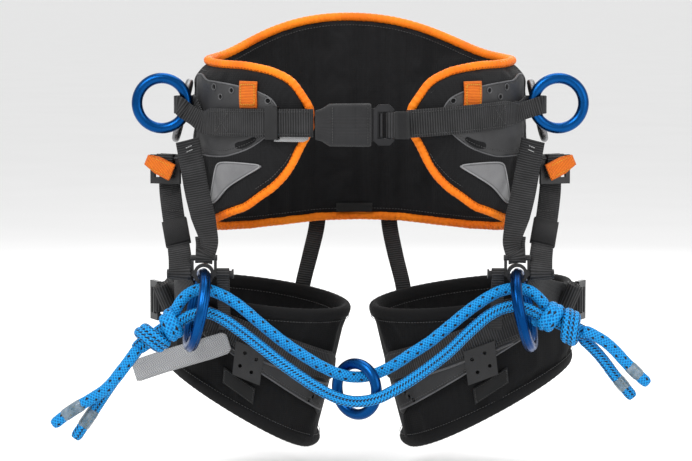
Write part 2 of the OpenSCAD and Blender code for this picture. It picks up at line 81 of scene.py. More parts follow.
# ---- Materials ----
class Look:
    """One procedural material, with short calls for its nodes. UVs are in metres along and across."""

    def __init__(self, name, **sockets):
        self.mat = bpy.data.materials.new(name)
        self.mat.use_nodes = True
        self.nodes, self.links = self.mat.node_tree.nodes, self.mat.node_tree.links
        self.shader = self.nodes["Principled BSDF"]
        for key, value in sockets.items():
            self.shader.inputs[key.replace("_", " ")].default_value = value

    def put(self, socket, value):
        if isinstance(value, bpy.types.NodeSocket):
            self.links.new(value, socket)
        elif isinstance(value, tuple) and len(value) == 3 and socket.type == "RGBA":
            socket.default_value = (*value, 1)
        else:
            socket.default_value = value

    def node(self, kind, inputs=(), **props):
        made = self.nodes.new("ShaderNode" + kind)
        for key, value in props.items():
            setattr(made, key, value)
        for key, value in dict(inputs).items():
            self.put(made.inputs[key], value)
        return made

    def math(self, op, a, b=0.0):
        return self.node("Math", {0: a, 1: b}, operation=op).outputs[0]

    def add(self, a, b):
        return self.math("ADD", a, b)

    def times(self, a, b):
        return self.math("MULTIPLY", a, b)

    def place(self, kind="Object"):
        return self.node("TexCoord").outputs[kind]

    def split(self, kind="UV"):
        out = self.node("SeparateXYZ", {0: self.place(kind)}).outputs
        return out[0], out[1], out[2]

    def wave(self, coordinate, period):
        return self.math("SINE", self.times(coordinate, 2 * math.pi / period))

    def noise(self, scale, detail=3.0):
        return self.node("TexNoise", {"Vector": self.place(), "Scale": scale,
                                      "Detail": detail}).outputs["Fac"]

    def cells(self, scale, randomness=0.3):
        return self.node("TexVoronoi", {"Vector": self.place(), "Scale": scale,
                                        "Randomness": randomness}).outputs["Distance"]

    def ramp(self, value, low, high, to_low=0.0, to_high=1.0):
        return self.node("MapRange", {"Value": value, "From Min": low, "From Max": high,
                                      "To Min": to_low, "To Max": to_high}).outputs[0]

    def mix(self, factor, a, b):
        made = self.node("Mix", data_type="RGBA")
        self.put(made.inputs[0], factor)
        self.put(made.inputs[6], a)
        self.put(made.inputs[7], b)
        return made.outputs[2]

    def color(self, value):
        self.put(self.shader.inputs["Base Color"], value)
        return self

    def rough(self, value):
        self.put(self.shader.inputs["Roughness"], value)
        return self

    def bump(self, height, distance, strength=1.0):
        made = self.node("Bump", {"Height": height, "Distance": distance, "Strength": strength})
        self.links.new(made.outputs[0], self.shader.inputs["Normal"])
        return self


def cloth_look(name, dark, light, cell=520, sheen=0.05):
    """Spacer-mesh lining: small cells with painted shade in their pits, slow fading and a soft sheen."""
    look = Look(name, Roughness=0.85, Sheen_Weight=sheen, Sheen_Roughness=0.5,
                Specular_IOR_Level=0.18)
    cells = look.cells(cell, 0.15)
    fade = look.ramp(look.noise(9, 4), 0.35, 0.7)
    # The cells darken the colour in their pits, where the bump is low, as painted shade; the fade adds
    # random tone.
    tone = look.add(look.times(cells, 0.7), look.times(fade, 0.45))
    height = look.add(cells, look.times(look.noise(160), 0.5))
    return look.color(look.mix(tone, dark, light)).bump(height, 0.0007, 0.7)


def web_look(name, dark, light, rib=0.0027, yarn=0.0013, sheen=0.05):
    """Ribbed webbing: ribs across the strap, fine yarn along it, with painted highlights on the rib tops
    and painted shade between the ribs.
    """
    look = Look(name, Roughness=0.6, Sheen_Weight=sheen, Sheen_Roughness=0.4,
                Specular_IOR_Level=0.3)
    along, across, _ = look.split()
    ribs = look.wave(along, rib)
    yarns = look.wave(look.add(across, look.times(ribs, yarn * 0.15)), yarn)
    height = look.add(ribs, look.times(yarns, 0.45))
    worn = look.times(look.noise(60, 5), 0.9)
    # The colour follows the rib and yarn height: painted highlights on the tops and painted shade in the
    # grooves, with real wear from the worn noise.
    tone = look.add(look.ramp(height, -0.6, 1.5), look.math("SUBTRACT", worn, 0.45))
    return look.color(look.mix(tone, dark, light)).bump(height, 0.00035, 0.9)


def herring_look(name, dark, light):
    """Herringbone webbing: slanted yarns that change way in rows along the strap, with painted highlights
    on the yarns and painted shade between them.
    """
    look = Look(name, Roughness=0.8, Specular_IOR_Level=0.25)
    along, across, _ = look.split()
    row = look.math("PINGPONG", across, 0.004)
    slant = look.wave(look.add(along, row), 0.0022)
    fine = look.wave(across, 0.0009)
    height = look.add(slant, look.times(fine, 0.4))
    # The colour follows the yarn height: painted highlights on the slanted yarns and painted shade
    # between them, with random tone on top.
    tone = look.add(look.ramp(height, -1.1, 1.2), look.times(look.noise(30), 0.3))
    return look.color(look.mix(tone, dark, light)).bump(height, 0.0003, 0.8)


def rope_look(name, striped):
    """Braided rope sleeve, flecked in a diamond pattern or striped in long rows, its blue painted lighter
    on the strand crowns and darker between the strands as highlight and shade.
    """
    look = Look(name, Roughness=0.55, Specular_IOR_Level=0.25)
    along, around, _ = look.split()
    turn = look.times(around, 0.028)
    one = look.wave(look.add(along, turn), 0.0035)
    two = look.wave(look.math("SUBTRACT", along, turn), 0.0035)
    braid = look.math("MAXIMUM", one, two)
    # The blue follows the strand height: painted highlights on the strand crowns and painted shade in the
    # grooves between strands.
    blue = look.mix(look.ramp(braid, -0.2, 1.0), (0.0, 0.12, 0.36), (0.003, 0.3, 0.72))
    if striped:
        rows = look.wave(around, 1 / 6)
        slant = look.times(look.math("PINGPONG", around, 1 / 12), 0.03)
        pick = look.wave(look.add(along, slant), 0.0036)
        black = look.math("GREATER_THAN", look.add(rows, look.times(pick, 0.55)), 0.72)
    else:
        lean = look.times(around, 0.048)
        first = look.wave(look.add(along, lean), 0.016)
        second = look.wave(look.math("SUBTRACT", along, lean), 0.016)
        black = look.times(look.math("GREATER_THAN", first, 0.66),
                           look.math("GREATER_THAN", second, 0.66))
    look.color(look.mix(black, blue, (0.006, 0.008, 0.012)))
    return look.bump(braid, 0.0007, 0.8)


def metal_look(name, deep, bright, rough, metallic=1.0, coat=0.0):
    """Metal with slow changes of tone and a fine haze in its shine."""
    look = Look(name, Metallic=metallic, Coat_Weight=coat, Coat_Roughness=0.15)
    haze = look.noise(240, 4)
    look.color(look.mix(look.ramp(look.noise(14, 3), 0.3, 0.75), deep, bright))
    look.rough(look.ramp(haze, 0.3, 0.8, rough - 0.06, rough + 0.1))
    return look.bump(haze, 0.00008, 0.5)


def moulded_look(name, dark, light, rough, grain=900, depth=0.00018, **sockets):
    """Moulded plastic: a fine grain with scuffed places."""
    look = Look(name, Specular_IOR_Level=0.4, **sockets)
    grains = look.cells(grain, 0.9)
    scuff = look.ramp(look.noise(35, 6), 0.45, 0.75)
    tone = look.add(look.times(grains, 0.35), look.times(scuff, 0.5))
    look.color(look.mix(tone, dark, light))
    look.rough(look.ramp(look.noise(90, 4), 0.3, 0.8, rough - 0.1, rough + 0.12))
    return look.bump(grains, depth, 0.6)


def piping_look():
    """Folded binding tape: fine weave, a puckered edge and a row of sunk stitches with painted shade in
    them.
    """
    look = Look("orange_binding", Roughness=0.6, Specular_IOR_Level=0.2)
    along, around, _ = look.split()
    weave = look.times(look.wave(along, 0.0011), look.wave(around, 0.05))
    pucker = look.wave(along, 0.0065)
    slow = look.ramp(look.noise(22, 4), 0.3, 0.75)
    dash = look.math("GREATER_THAN", look.wave(along, 0.0042), -0.3)
    row = look.math("LESS_THAN", look.math("ABSOLUTE", look.math("SUBTRACT", around, 0.6)), 0.03)
    sunk = look.times(dash, row)
    base = look.mix(slow, (0.74, 0.13, 0.002), (0.98, 0.25, 0.006))
    # The sunk stitches are painted dark orange: painted shade in the stitch dents.
    look.color(look.mix(look.times(sunk, 0.6), base, (0.35, 0.05, 0.003)))
    height = look.add(look.times(weave, 0.25), look.times(pucker, 0.9))
    return look.bump(look.math("SUBTRACT", height, sunk), 0.0005, 0.8)


# Lining and binding colours: the dark end is painted shade in the mesh pits, the light end the cell rims
# and random fading.
LINING = cloth_look("lining", (0.0015, 0.0015, 0.0018), (0.011, 0.011, 0.012))
LEG_LINING = cloth_look("leg_lining", (0.0008, 0.0008, 0.001), (0.007, 0.007, 0.0075), 480, 0.02)
BINDING = cloth_look("black_binding", (0.001, 0.001, 0.0011), (0.0075, 0.0075, 0.008), 900, 0.02)
PIPING = piping_look()
# Webbing, sleeve, cover and label colours: the dark end is painted shade between the ribs, the light end
# painted highlight on the rib tops.
WEB = web_look("webbing", (0.001, 0.001, 0.0012), (0.042, 0.042, 0.044))
SMOOTH_WEB = web_look("sleeve_cloth", (0.005, 0.005, 0.006), (0.018, 0.018, 0.019), 0.0009, 0.0009)
COVER = web_look("cover_cloth", (0.013, 0.013, 0.014), (0.032, 0.032, 0.034), 0.0012, 0.001, 0.1)
# Herringbone colours: the dark end is painted shade between the yarns, the light end painted highlight on
# them.
GREY_WEB = herring_look("grey_webbing", (0.11, 0.11, 0.115), (0.5, 0.5, 0.5))
ORANGE_WEB = web_look("orange_webbing", (0.55, 0.09, 0.002), (0.98, 0.25, 0.006), 0.0016, 0.001)
LABEL = web_look("label_weave", (0.006, 0.006, 0.006), (0.02, 0.02, 0.02), 0.0007, 0.0007)
FLECKED = rope_look("rope_flecked", False)
STRIPED = rope_look("rope_striped", True)
BLUE = metal_look("anodised_blue", (0.002, 0.035, 0.14), (0.006, 0.08, 0.27), 0.3)
GREY_METAL = metal_look("satin_grey", (0.13, 0.13, 0.135), (0.22, 0.22, 0.225), 0.38)
DARK_METAL = metal_look("dark_metal", (0.01, 0.01, 0.011), (0.03, 0.03, 0.032), 0.33, 0.7, 0.1)
PLATE = moulded_look("moulded_plate", (0.017, 0.017, 0.018), (0.042, 0.042, 0.044), 0.5)
# A lighter copy of the plate look for the raised beads: painted highlight along the rims they trace.
PLATE_EDGE = moulded_look("plate_edge", (0.06, 0.06, 0.063), (0.13, 0.13, 0.135), 0.5)
FLAP = moulded_look("leg_flap", (0.005, 0.005, 0.0055), (0.02, 0.02, 0.021), 0.45, 700, 0.0003)
BADGE = moulded_look("grey_badge", (0.1, 0.1, 0.105), (0.17, 0.17, 0.175), 0.4,
                     1200, 0.0001, Transmission_Weight=0.12, Coat_Weight=0.3)
# A lighter copy of the badge grey for the badge's rim bead: painted highlight along its edge.
BADGE_RIM = moulded_look("badge_rim", (0.2, 0.2, 0.205), (0.3, 0.3, 0.305), 0.35)
PLASTIC = moulded_look("black_plastic", (0.003, 0.003, 0.0035), (0.015, 0.015, 0.016), 0.4)
# Thread colours: the dark end is painted shade between the ribs, the light end painted highlight on the
# rib tops.
THREAD = web_look("dark_thread", (0.05, 0.05, 0.05), (0.14, 0.14, 0.14), 0.0006, 0.0004)
YELLOW_THREAD = web_look("yellow_thread", (0.75, 0.4, 0.02), (1.0, 0.62, 0.08), 0.0006, 0.0004)
WHITE_THREAD = web_look("white_thread", (0.45, 0.45, 0.45), (0.8, 0.8, 0.8), 0.0006, 0.0004)
FILM = Look("shrink_film", Roughness=0.22, Coat_Weight=0.6, Transmission_Weight=0.35, Alpha=0.8)
FILM.color(FILM.mix(FILM.ramp(FILM.noise(120, 4), 0.35, 0.7), (0.1, 0.17, 0.2),
                    (0.36, 0.42, 0.45)))
FILM.bump(FILM.noise(300), 0.0003, 0.6)


# ---- Shape helpers, in millimetres ----
def V(*values):
    return Vector(values)


def sin(degrees):
    return math.sin(math.radians(degrees))


def cos(degrees):
    return math.cos(math.radians(degrees))


def clamp(x):
    return max(0.0, min(1.0, x))


def keep(obj, slot, *nodes):
    """Hides the CAD nodes that the piece stands for; the slot argument is not used."""
    if nodes:
        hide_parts(*nodes)
    return obj


SPLINE_PARTS = 16


def spline(points, step, closed=False):
    """A smooth line through the points, in even steps."""
    pts = [Vector(p) for p in points]
    n = len(pts)
    dense = []
    for i in range(n if closed else n - 1):
        if closed:
            a, b, c, d = (pts[(i + k) % n] for k in (-1, 0, 1, 2))
        else:
            b, c = pts[i], pts[i + 1]
            a = pts[i - 1] if i else 2 * b - c
            d = pts[i + 2] if i + 2 < n else 2 * c - b
        for k in range(SPLINE_PARTS):
            x = k / SPLINE_PARTS
            dense.append(0.5 * (2 * b + (c - a) * x + (2 * a - 5 * b + 4 * c - d) * x * x
                                + (3 * b - a - 3 * c + d) * x ** 3))
    dense.append(pts[0].copy() if closed else pts[-1].copy())
    return even(dense, step, closed)


def marks_along(path):
    """How far each point is from the path's start."""
    marks = [0.0]
    for a, b in zip(path, path[1:]):
        marks.append(marks[-1] + (b - a).length)
    return marks


def even(dense, step, closed=False):
    """Points at even steps along a dense line."""
    marks = marks_along(dense)
    count = max(3, round(marks[-1] / step))
    out, k = [], 0
    for i in range(count if closed else count + 1):
        want = marks[-1] * i / count
        while k < len(marks) - 2 and marks[k + 1] < want:
            k += 1
        span = marks[k + 1] - marks[k]
        out.append(dense[k].lerp(dense[k + 1], (want - marks[k]) / span if span else 0))
    return out


def tangents(path, closed):
    n = len(path)
    out = []
    for i in range(n):
        before = path[(i - 1) % n] if closed else path[max(i - 1, 0)]
        after = path[(i + 1) % n] if closed else path[min(i + 1, n - 1)]
        out.append((after - before).normalized())
    return out


def make(name, verts, faces, look, body, uvs=None, mirror=False):
    """A mesh piece from points in millimetres. uvs holds one pair for each face corner."""
    if mirror:
        verts = [(-v[0], v[1], v[2]) for v in verts]
        faces = [tuple(reversed(f)) for f in faces]
        uvs = [tuple(reversed(c)) for c in uvs] if uvs else None
    mesh = bpy.data.meshes.new(name)
    mesh.from_pydata([tuple(c * MM for c in v) for v in verts], [], faces)
    if uvs:
        layer = mesh.uv_layers.new(name="uv")
        layer.data.foreach_set("uv", [c for corners in uvs for pair in corners for c in pair])
    mesh.polygons.foreach_set("use_smooth", [True] * len(faces))
    mesh.materials.append(look.mat)
    mesh.update()
    obj = bpy.data.objects.new(name, mesh)
    scene.collection.objects.link(obj)
    if body:
        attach(obj, body)
    return obj


def loft(name, rings, coords, look, body, closed=False, mirror=False):
    """A skin over rings of points; coords gives each ring's place along and each point's across."""
    n, m = len(rings[0]), len(rings)
    along, across = coords
    verts = [tuple(p) for ring in rings for p in ring]
    faces, uvs = [], []
    for i in range(m if closed else m - 1):
        k = (i + 1) % m
        a0, a1 = along[i], along[i + 1]
        for j in range(n):
            q = (j + 1) % n
            faces.append((i * n + j, i * n + q, k * n + q, k * n + j))
            uvs.append(((a0, across[j]), (a0, across[j + 1]), (a1, across[j + 1]), (a1, across[j])))
    if not closed:
        for at, flip in ((0, True), (m - 1, False)):
            centre = sum((Vector(p) for p in rings[at]), Vector()) / n
            verts.append(tuple(centre))
            for j in range(n):
                q = (j + 1) % n
                face = (at * n + j, at * n + q, len(verts) - 1)
                faces.append(tuple(reversed(face)) if flip else face)
                uvs.append(((along[at], across[j]),) * 3)
    return make(name, verts, faces, look, body, uvs, mirror)


ROUNDED_END = (0.72, 0.93)


def tube(name, path, radius, look, body, closed=False, mirror=False, sides=16, aim=(0, 1, 0)):
    """A round piece along a path. radius is a number, or a call with place along and angle."""
    ways = tangents(path, closed)
    side = Vector(aim).cross(ways[0]).normalized()
    rings, marks = [], marks_along(path)
    count = len(path)
    for i, (point, way) in enumerate(zip(path, ways)):
        side = (side - way * side.dot(way)).normalized()
        over = way.cross(side)
        end = min(i, count - 1 - i)
        close = 1.0 if closed or end > 1 else ROUNDED_END[end]
        ring = []
        for j in range(sides):
            angle = 2 * math.pi * j / sides
            r = (radius(marks[i], angle) if callable(radius) else radius) * close
            ring.append(point + r * (math.cos(angle) * side + math.sin(angle) * over))
        rings.append(ring)
    if closed:
        marks.append(marks[-1] + (path[0] - path[-1]).length)
        carried = carried_on(rings[-1], path, ways[0])
        twist = min(range(sides), key=lambda k: (rings[0][k] - carried).length)
        if twist:
            turn = 2 * math.pi * (twist if twist < sides / 2 else twist - sides) / sides
            for i, ring in enumerate(rings):
                part = turn * i / count
                axis = ways[i]
                for j in range(sides):
                    arm = ring[j] - path[i]
                    ring[j] = path[i] + arm * math.cos(part) + axis.cross(arm) * math.sin(part)
    uvs = ([mark * MM for mark in marks], [j / sides for j in range(sides + 1)])
    return loft(name, rings, uvs, look, body, closed, mirror)


def carried_on(ring, path, way):
    """Where the last ring's first point would lie if it were carried on to the path's start."""
    arm = ring[0] - path[-1]
    return path[0] + (arm - way * arm.dot(way)).normalized() * arm.length


def value_at(value, x):
    return value(x) if callable(value) else value


def strap(name, path, wide, width, thick, look, body, mirror=False, bulge=0.0):
    """Flat webbing along a path. wide is a vector or a call of 0..1; so is width."""
    ways = tangents(path, False)
    share = (-0.97, -0.65, -0.33, 0, 0.33, 0.65, 0.97)
    rings = []
    for i, (point, way) in enumerate(zip(path, ways)):
        x = i / (len(path) - 1)
        lie = value_at(wide, x)
        side = (lie - way * lie.dot(way)).normalized()
        face = way.cross(side)
        half, h = value_at(width, x) / 2, thick / 2
        ring = [point + side * half * s + face * (-h - bulge * (1 - s * s)) for s in share]
        ring.append(point + side * half)
        ring += [point + side * half * s + face * (h - bulge * (1 - s * s)) for s in reversed(share)]
        ring.append(point - side * half)
        rings.append(ring)
    half = value_at(width, 0.5) / 2 * MM
    across = [s * half for s in share] + [half] + [s * half for s in reversed(share)] + [-half]
    across.append(-0.97 * half)
    uvs = ([mark * MM for mark in marks_along(path)], across)
    return loft(name, rings, uvs, look, body, False, mirror)


def webbing(name, path, wide, width, thick, body, mirror, *nodes):
    return keep(strap(name, path, wide, width, thick, WEB, body, mirror), "webbing", *nodes)


def bead(name, path, r, body, mirror, look=PLATE_EDGE, slot="hip_plate", closed=True, sides=8):
    """A thin line that stands out from a panel."""
    keep(tube(name, path, r, look, body, closed=closed, mirror=mirror, sides=sides), slot)


def inside(point, loop):
    """Whether a flat point lies inside a closed outline."""
    hit = False
    for (ax, ay), (bx, by) in zip(loop, loop[1:] + loop[:1]):
        if (ay > point[1]) != (by > point[1]):
            if point[0] < (bx - ax) * (point[1] - ay) / (by - ay) + ax:
                hit = not hit
    return hit


def gap(point, loop):
    """The distance from a flat point to a closed outline."""
    best = 1e9
    for (ax, ay), (bx, by) in zip(loop, loop[1:] + loop[:1]):
        dx, dy = bx - ax, by - ay
        k = clamp(((point[0] - ax) * dx + (point[1] - ay) * dy) / (dx * dx + dy * dy))
        best = min(best, math.hypot(point[0] - ax - k * dx, point[1] - ay - k * dy))
    return best


def smooth_loop(points, step):
    return [(p.x, p.y) for p in spline([V(x, y, 0) for x, y in points], step, closed=True)]


def circle_loop(x, y, r, n=20):
    return [(x + r * math.cos(2 * math.pi * k / n), y + r * math.sin(2 * math.pi * k / n))
            for k in range(n)]


def patch(name, outline, holes, place, low, high, edge, look, body, mirror=False, step=3.0):
    """A moulded or sewn panel: a flat outline in millimetres laid on a curved surface."""
    loops = [outline] + holes
    points, edges = [], []
    for loop in loops:
        start = len(points)
        points += [V(x, y) for x, y in loop]
        edges += [(start + k, start + (k + 1) % len(loop)) for k in range(len(loop))]
    spots = []
    for loop in loops:
        for (ax, ay), (bx, by) in zip(loop, loop[1:] + loop[:1]):
            run = math.hypot(bx - ax, by - ay) or 1
            for far in (0.35 * edge, edge):
                for way in (1, -1):
                    spots.append(((ax + bx) / 2 - way * (by - ay) / run * far,
                                  (ay + by) / 2 + way * (bx - ax) / run * far, 0.6 * far))
    xs, ys = [p[0] for p in outline], [p[1] for p in outline]
    y = min(ys)
    while y < max(ys):
        x = min(xs)
        while x < max(xs):
            spots.append((x, y, edge + 0.4))
            x += step
        y += step
    for x, y, far in spots:
        if inside((x, y), outline) and not any(inside((x, y), hole) for hole in holes):
            if min(gap((x, y), loop) for loop in loops) >= far * 0.9:
                points.append(V(x, y))
    laid, _, tris, *_ = delaunay_2d_cdt(points, edges, [], 1, 1e-5)
    kept = []
    for tri in tris:
        mid = (sum(laid[k].x for k in tri) / 3, sum(laid[k].y for k in tri) / 3)
        if inside(mid, outline) and not any(inside(mid, hole) for hole in holes):
            kept.append(tuple(tri))
    n = len(laid)
    verts = []
    for p in laid:
        x = min(1.0, min(gap((p.x, p.y), loop) for loop in loops) / edge)
        lift = 0.4 + 0.6 * math.sqrt(max(0.0, 1 - (1 - x) ** 2))
        verts.append(place(p.x, p.y, low + (high - low) * lift))
    verts += [place(p.x, p.y, low) for p in laid]
    faces = kept + [tuple(n + k for k in reversed(tri)) for tri in kept]
    used = dict.fromkeys((a, b) for tri in kept for a, b in zip(tri, tri[1:] + tri[:1]))
    for a, b in used:
        if (b, a) not in used:
            faces.append((b, a, n + a, n + b))
    flat = [(p.x * MM, p.y * MM) for p in laid] * 2
    uvs = [tuple(flat[k] for k in face) for face in faces]
    return make(name, verts, faces, look, body, uvs, mirror)


def stitches(name, lines, body, mirror=False, pitch=3.4, dash=2.4, r=0.38, look=THREAD,
             slot="label"):
    """Rows of sewn thread, one small rounded dash for each stitch."""
    verts, faces = [], []
    for line in lines:
        points = even(line, pitch)
        for a, b in zip(points, points[1:]):
            mid, way = (a + b) / 2, (b - a).normalized()
            side = way.orthogonal().normalized()
            over = way.cross(side)
            base = len(verts)
            for far, wide in ((-0.5, 0.35), (-0.3, 1), (0.3, 1), (0.5, 0.35)):
                for k in range(6):
                    angle = math.pi * k / 3
                    arm = math.cos(angle) * side + math.sin(angle) * over
                    verts.append(mid + way * dash * far + r * wide * arm)
            for i in range(3):
                for k in range(6):
                    q = (k + 1) % 6
                    at = base + i * 6
                    faces.append((at + k, at + q, at + 6 + q, at + 6 + k))
            faces.append(tuple(base + k for k in reversed(range(6))))
            faces.append(tuple(base + 18 + k for k in range(6)))
    uvs = [tuple((verts[k][0] * MM, verts[k][2] * MM) for k in face) for face in faces]
    return keep(make(name, [tuple(v) for v in verts], faces, look, body, uvs, mirror), slot)


SETTLE_FRAMES = 20


def puff(obj, pinned, cap):
    """Blows the pad up as cloth between its pinned seams, then keeps the settled shape."""
    group = obj.vertex_groups.new(name="seams")
    group.add(pinned, 1.0, "REPLACE")
    made = obj.modifiers.new("cloth", "CLOTH")
    cloth = made.settings
    cloth.quality = 4
    cloth.mass = 0.25
    cloth.tension_stiffness = cloth.compression_stiffness = 12
    cloth.bending_stiffness = 0.4
    cloth.use_pressure = True
    cloth.uniform_pressure_force = 4.0
    cloth.shrink_min = -0.025
    cloth.effector_weights.gravity = 0
    cloth.vertex_group_mass = "seams"
    made.point_cache.frame_start, made.point_cache.frame_end = 1, SETTLE_FRAMES
    for number in range(1, SETTLE_FRAMES + 1):
        scene.frame_set(number)
    settled = obj.evaluated_get(bpy.context.evaluated_depsgraph_get()).data
    moved = [v.co.copy() for v in settled.vertices]
    obj.modifiers.remove(made)
    limit = cap * MM
    for vertex, new in zip(obj.data.vertices, moved):
        shift = new - vertex.co
        if shift.length > limit:
            shift *= limit / shift.length
        vertex.co += shift
    obj.vertex_groups.clear()
    scene.frame_set(1)


def lookup(x, table):
    """Straight lines between the table's pairs."""
    if x <= table[0][0]:
        return table[0][1]
    for (a, p), (b, q) in zip(table, table[1:]):
        if x <= b:
            return p + (q - p) * (x - a) / (b - a)
    return table[-1][1]


# ---- The body's measures, as in the frame ----
WAIST_A, WAIST_B, PAD_HALF, PIPING_R = 172, 118, 6, 4.5
PAD_END, PAD_SKEW = 160.5, 4
PAD_TOP = [(0, 111.5), (10, 110), (20, 105), (30, 96.5), (40, 86), (50, 76), (60, 70), (75, 67),
           (100, 65), (121, 63), (134, 62.5), (145, 58.5), (151, 54), (156, 44), (160.5, 27)]
PAD_FOOT = [(0, -104), (15, -105), (30, -109), (45, -111.5), (60, -111), (90, -105), (115, -95),
            (136, -78), (148.5, -56), (154.5, -38), (160.5, -4)]
LEG_X, LEG_A, LEG_Y, LEG_B, LEG_HALF = (110, 119), (98, 107), 17, 78, 5
LINK = V(163, -112, -150)
SIDES = ((True, 0, "left"), (False, 1, "right"))


def waist(t, r, z):
    """A point on the belt: t degrees round from the back, r millimetres out from its middle."""
    return V((WAIST_A + r) * sin(t), (WAIST_B + r) * cos(t), z)


def pad_top(t):
    """A soft line through the rim heights; the pad's back is turned a little to the left."""
    at = abs(t + PAD_SKEW * (1 + cos(t)) / 2)
    return sum(lookup(min(at + k, PAD_END) if at + k > 0 else -(at + k), PAD_TOP)
               for k in (-4, -2, 0, 2, 4)) / 5 if at < 152 else lookup(at, PAD_TOP)


def pad_foot(t):
    return lookup(abs(t), PAD_FOOT)


def rim_lean(t):
    return 9 * sin(t) ** 4


def leg(side, u, r, z):
    """A point on a leg loop: u degrees round from its outer side, r millimetres out."""
    lean = 0.125 * (-187 - z) * (1 - cos(u))
    return V(LEG_X[side] + (LEG_A[side] + r) * cos(u) + lean, LEG_Y + (LEG_B + r) * sin(u), z)


def leg_top(u):
    return -187 + 13 * cos(u) + 6 * sin(u)


def leg_foot(u):
    return -299 + 46 * cos(u) + 6 * sin(u)


def leg_band(u):
    return -223 + 40 * cos(u)


def panel_foot(u):
    return -252 + 61 * cos(u)


# ---- Rope bridge ----
ROPE_R = 6
ROPE_UPPER = [(-194, -128, -192), (-187, -126, -178), (-176, -123, -168), (-161, -122, -165),
              (-141, -124, -172), (-124, -126, -183), (-104, -127, -200), (-83, -128, -217),
              (-63, -128, -231), (-42, -128, -244), (-22, -128, -253), (-4, -128, -256),
              (14, -128, -253), (32, -128, -245), (52, -128, -232), (72, -128, -219),
              (92, -127, -203), (113, -126, -186), (134, -124, -172), (148, -122, -166),
              (161, -122, -164), (176, -123, -167), (187, -126, -176), (194, -128, -186)]
ROPE_LOWER = [(-194, -134, -203), (-178, -132, -192), (-160, -132, -188), (-142, -134, -195),
              (-124, -137, -207), (-104, -141, -222), (-83, -146, -238), (-63, -150, -252),
              (-42, -155, -265), (-22, -159, -274), (-3, -160, -277), (16, -159, -274),
              (30, -157, -268), (50, -152, -257), (71, -147, -243), (92, -141, -227),
              (113, -137, -207), (134, -134, -190), (154, -132, -182), (172, -132, -184),
              (194, -134, -196)]
TAILS = {
    "left_upper": [(-230, -140, -224), (-240, -141, -238), (-252, -141, -254),
                   (-264, -140, -267), (-277, -138, -276), (-290, -137, -284),
                   (-305, -136, -294), (-319, -135, -305)],
    "left_lower": [(-230, -126, -226), (-240, -125, -239), (-252, -125, -254),
                   (-264, -125, -271), (-272, -126, -283), (-280, -127, -295),
                   (-289, -129, -308), (-297, -130, -320)],
    "right_upper": [(230, -140, -205), (240, -140, -210), (253, -139, -218),
                    (264, -138, -228), (274, -137, -239), (286, -136, -251),
                    (298, -135, -262)],
    "right_lower": [(229, -126, -215), (237, -126, -222), (246, -127, -231),
                    (255, -128, -242), (263, -129, -253), (273, -130, -265),
                    (283, -131, -277)]}
KNOTS = {"left": (V(-196, -129, -201), V(-234, -133, -227)),
         "right": (V(196, -129, -193), V(236, -133, -212))}


def rope_radius(travelled, angle):
    return ROPE_R * (1 + 0.012 * math.sin(travelled * 1.7 + 3 * angle))


WRAP_STEPS, WRAP_TURNS, WRAP_RISE = 80, 1.95, 13.0


def knot_wraps(sn, start, end):
    """Four wraps round the knot's own axis: two of each rope, pulled a little out of line."""
    way = (end - start).normalized()
    side = V(0, 1, 0).cross(way).normalized()
    over = way.cross(side)
    out = []
    for pair, look in ((0, FLECKED), (1, STRIPED)):
        lean = (-0.28, 0.22)[pair]
        path = []
        for k in range(WRAP_STEPS + 1):
            angle = 2 * math.pi * WRAP_TURNS * k / WRAP_STEPS + pair * 2.2
            ahead = -7.5 + pair * 25.5 + WRAP_RISE * k / WRAP_STEPS
            wide = 11.4 + pair * 1.2 - 0.9 * math.cos(2 * angle)
            arm = wide * (math.cos(angle) * side + math.sin(angle) * over)
            path.append(start + way * (ahead + lean * arm.dot(side)) + arm)
        out.append(tube(f"knot_{sn}_{('flecked', 'striped')[pair]}", even(path, 2.0),
                        6.1, look, "belt", sides=20, aim=way))
    return out


wraps = {sn: knot_wraps(sn, *ends) for sn, ends in KNOTS.items()}
core = []
for sn, (start, end) in KNOTS.items():
    core.append(tube(f"knot_{sn}_core", spline([start + (end - start) * k / 4 for k in range(5)], 4),
                     8, STRIPED, "belt", sides=16))
knots = wraps["left"] + wraps["right"] + core
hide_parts("stopper_knots")
for name, points, look, pieces in (("upper", ROPE_UPPER, FLECKED, knots),
                                   ("lower", ROPE_LOWER, STRIPED, [])):
    path = spline(points, 3)
    rope = tube("bridge_rope_" + name + "_braid", path, rope_radius, look, "belt", sides=24)
    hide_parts("bridge_rope_" + name)
    round(marks_along(path)[-1] * MM, 3)
    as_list(pieces)
for name, points in TAILS.items():
    path = spline(points, 2.5)
    tail = tube("tail_" + name, path, rope_radius, FLECKED if "upper" in name else STRIPED,
                "belt", sides=24)
    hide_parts("rope_tail_" + name)
    count = len(path)
    film = tube("film_" + name, path[int(count * 0.66):int(count * 0.9)],
                lambda s, a: ROPE_R + 0.7 + 0.15 * math.sin(5 * a), FILM, "belt", sides=24)
    if name == "left_upper":
        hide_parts("tail_bands")
    round(marks_along(path)[-1] * MM, 3)


# ---- Rings ----
def blue_ring(name, node, centre, across, tall, radius, tube_r, grooves=0.0, mirror=False):
    """A ring in the plane of the ways across and tall. Its body has the same name as its node."""
    path = [centre + radius * (math.cos(2 * math.pi * k / 120) * across
                               + math.sin(2 * math.pi * k / 120) * tall)
            for k in range(120)]

    def wall(travelled, angle):
        return tube_r * (1 - grooves * (0.5 - 0.5 * math.cos(6 * angle)) ** 3)
    keep(tube(name, path, wall, BLUE, node, closed=True, mirror=mirror, sides=48,
              aim=across.cross(tall)), "blue_metal", node)


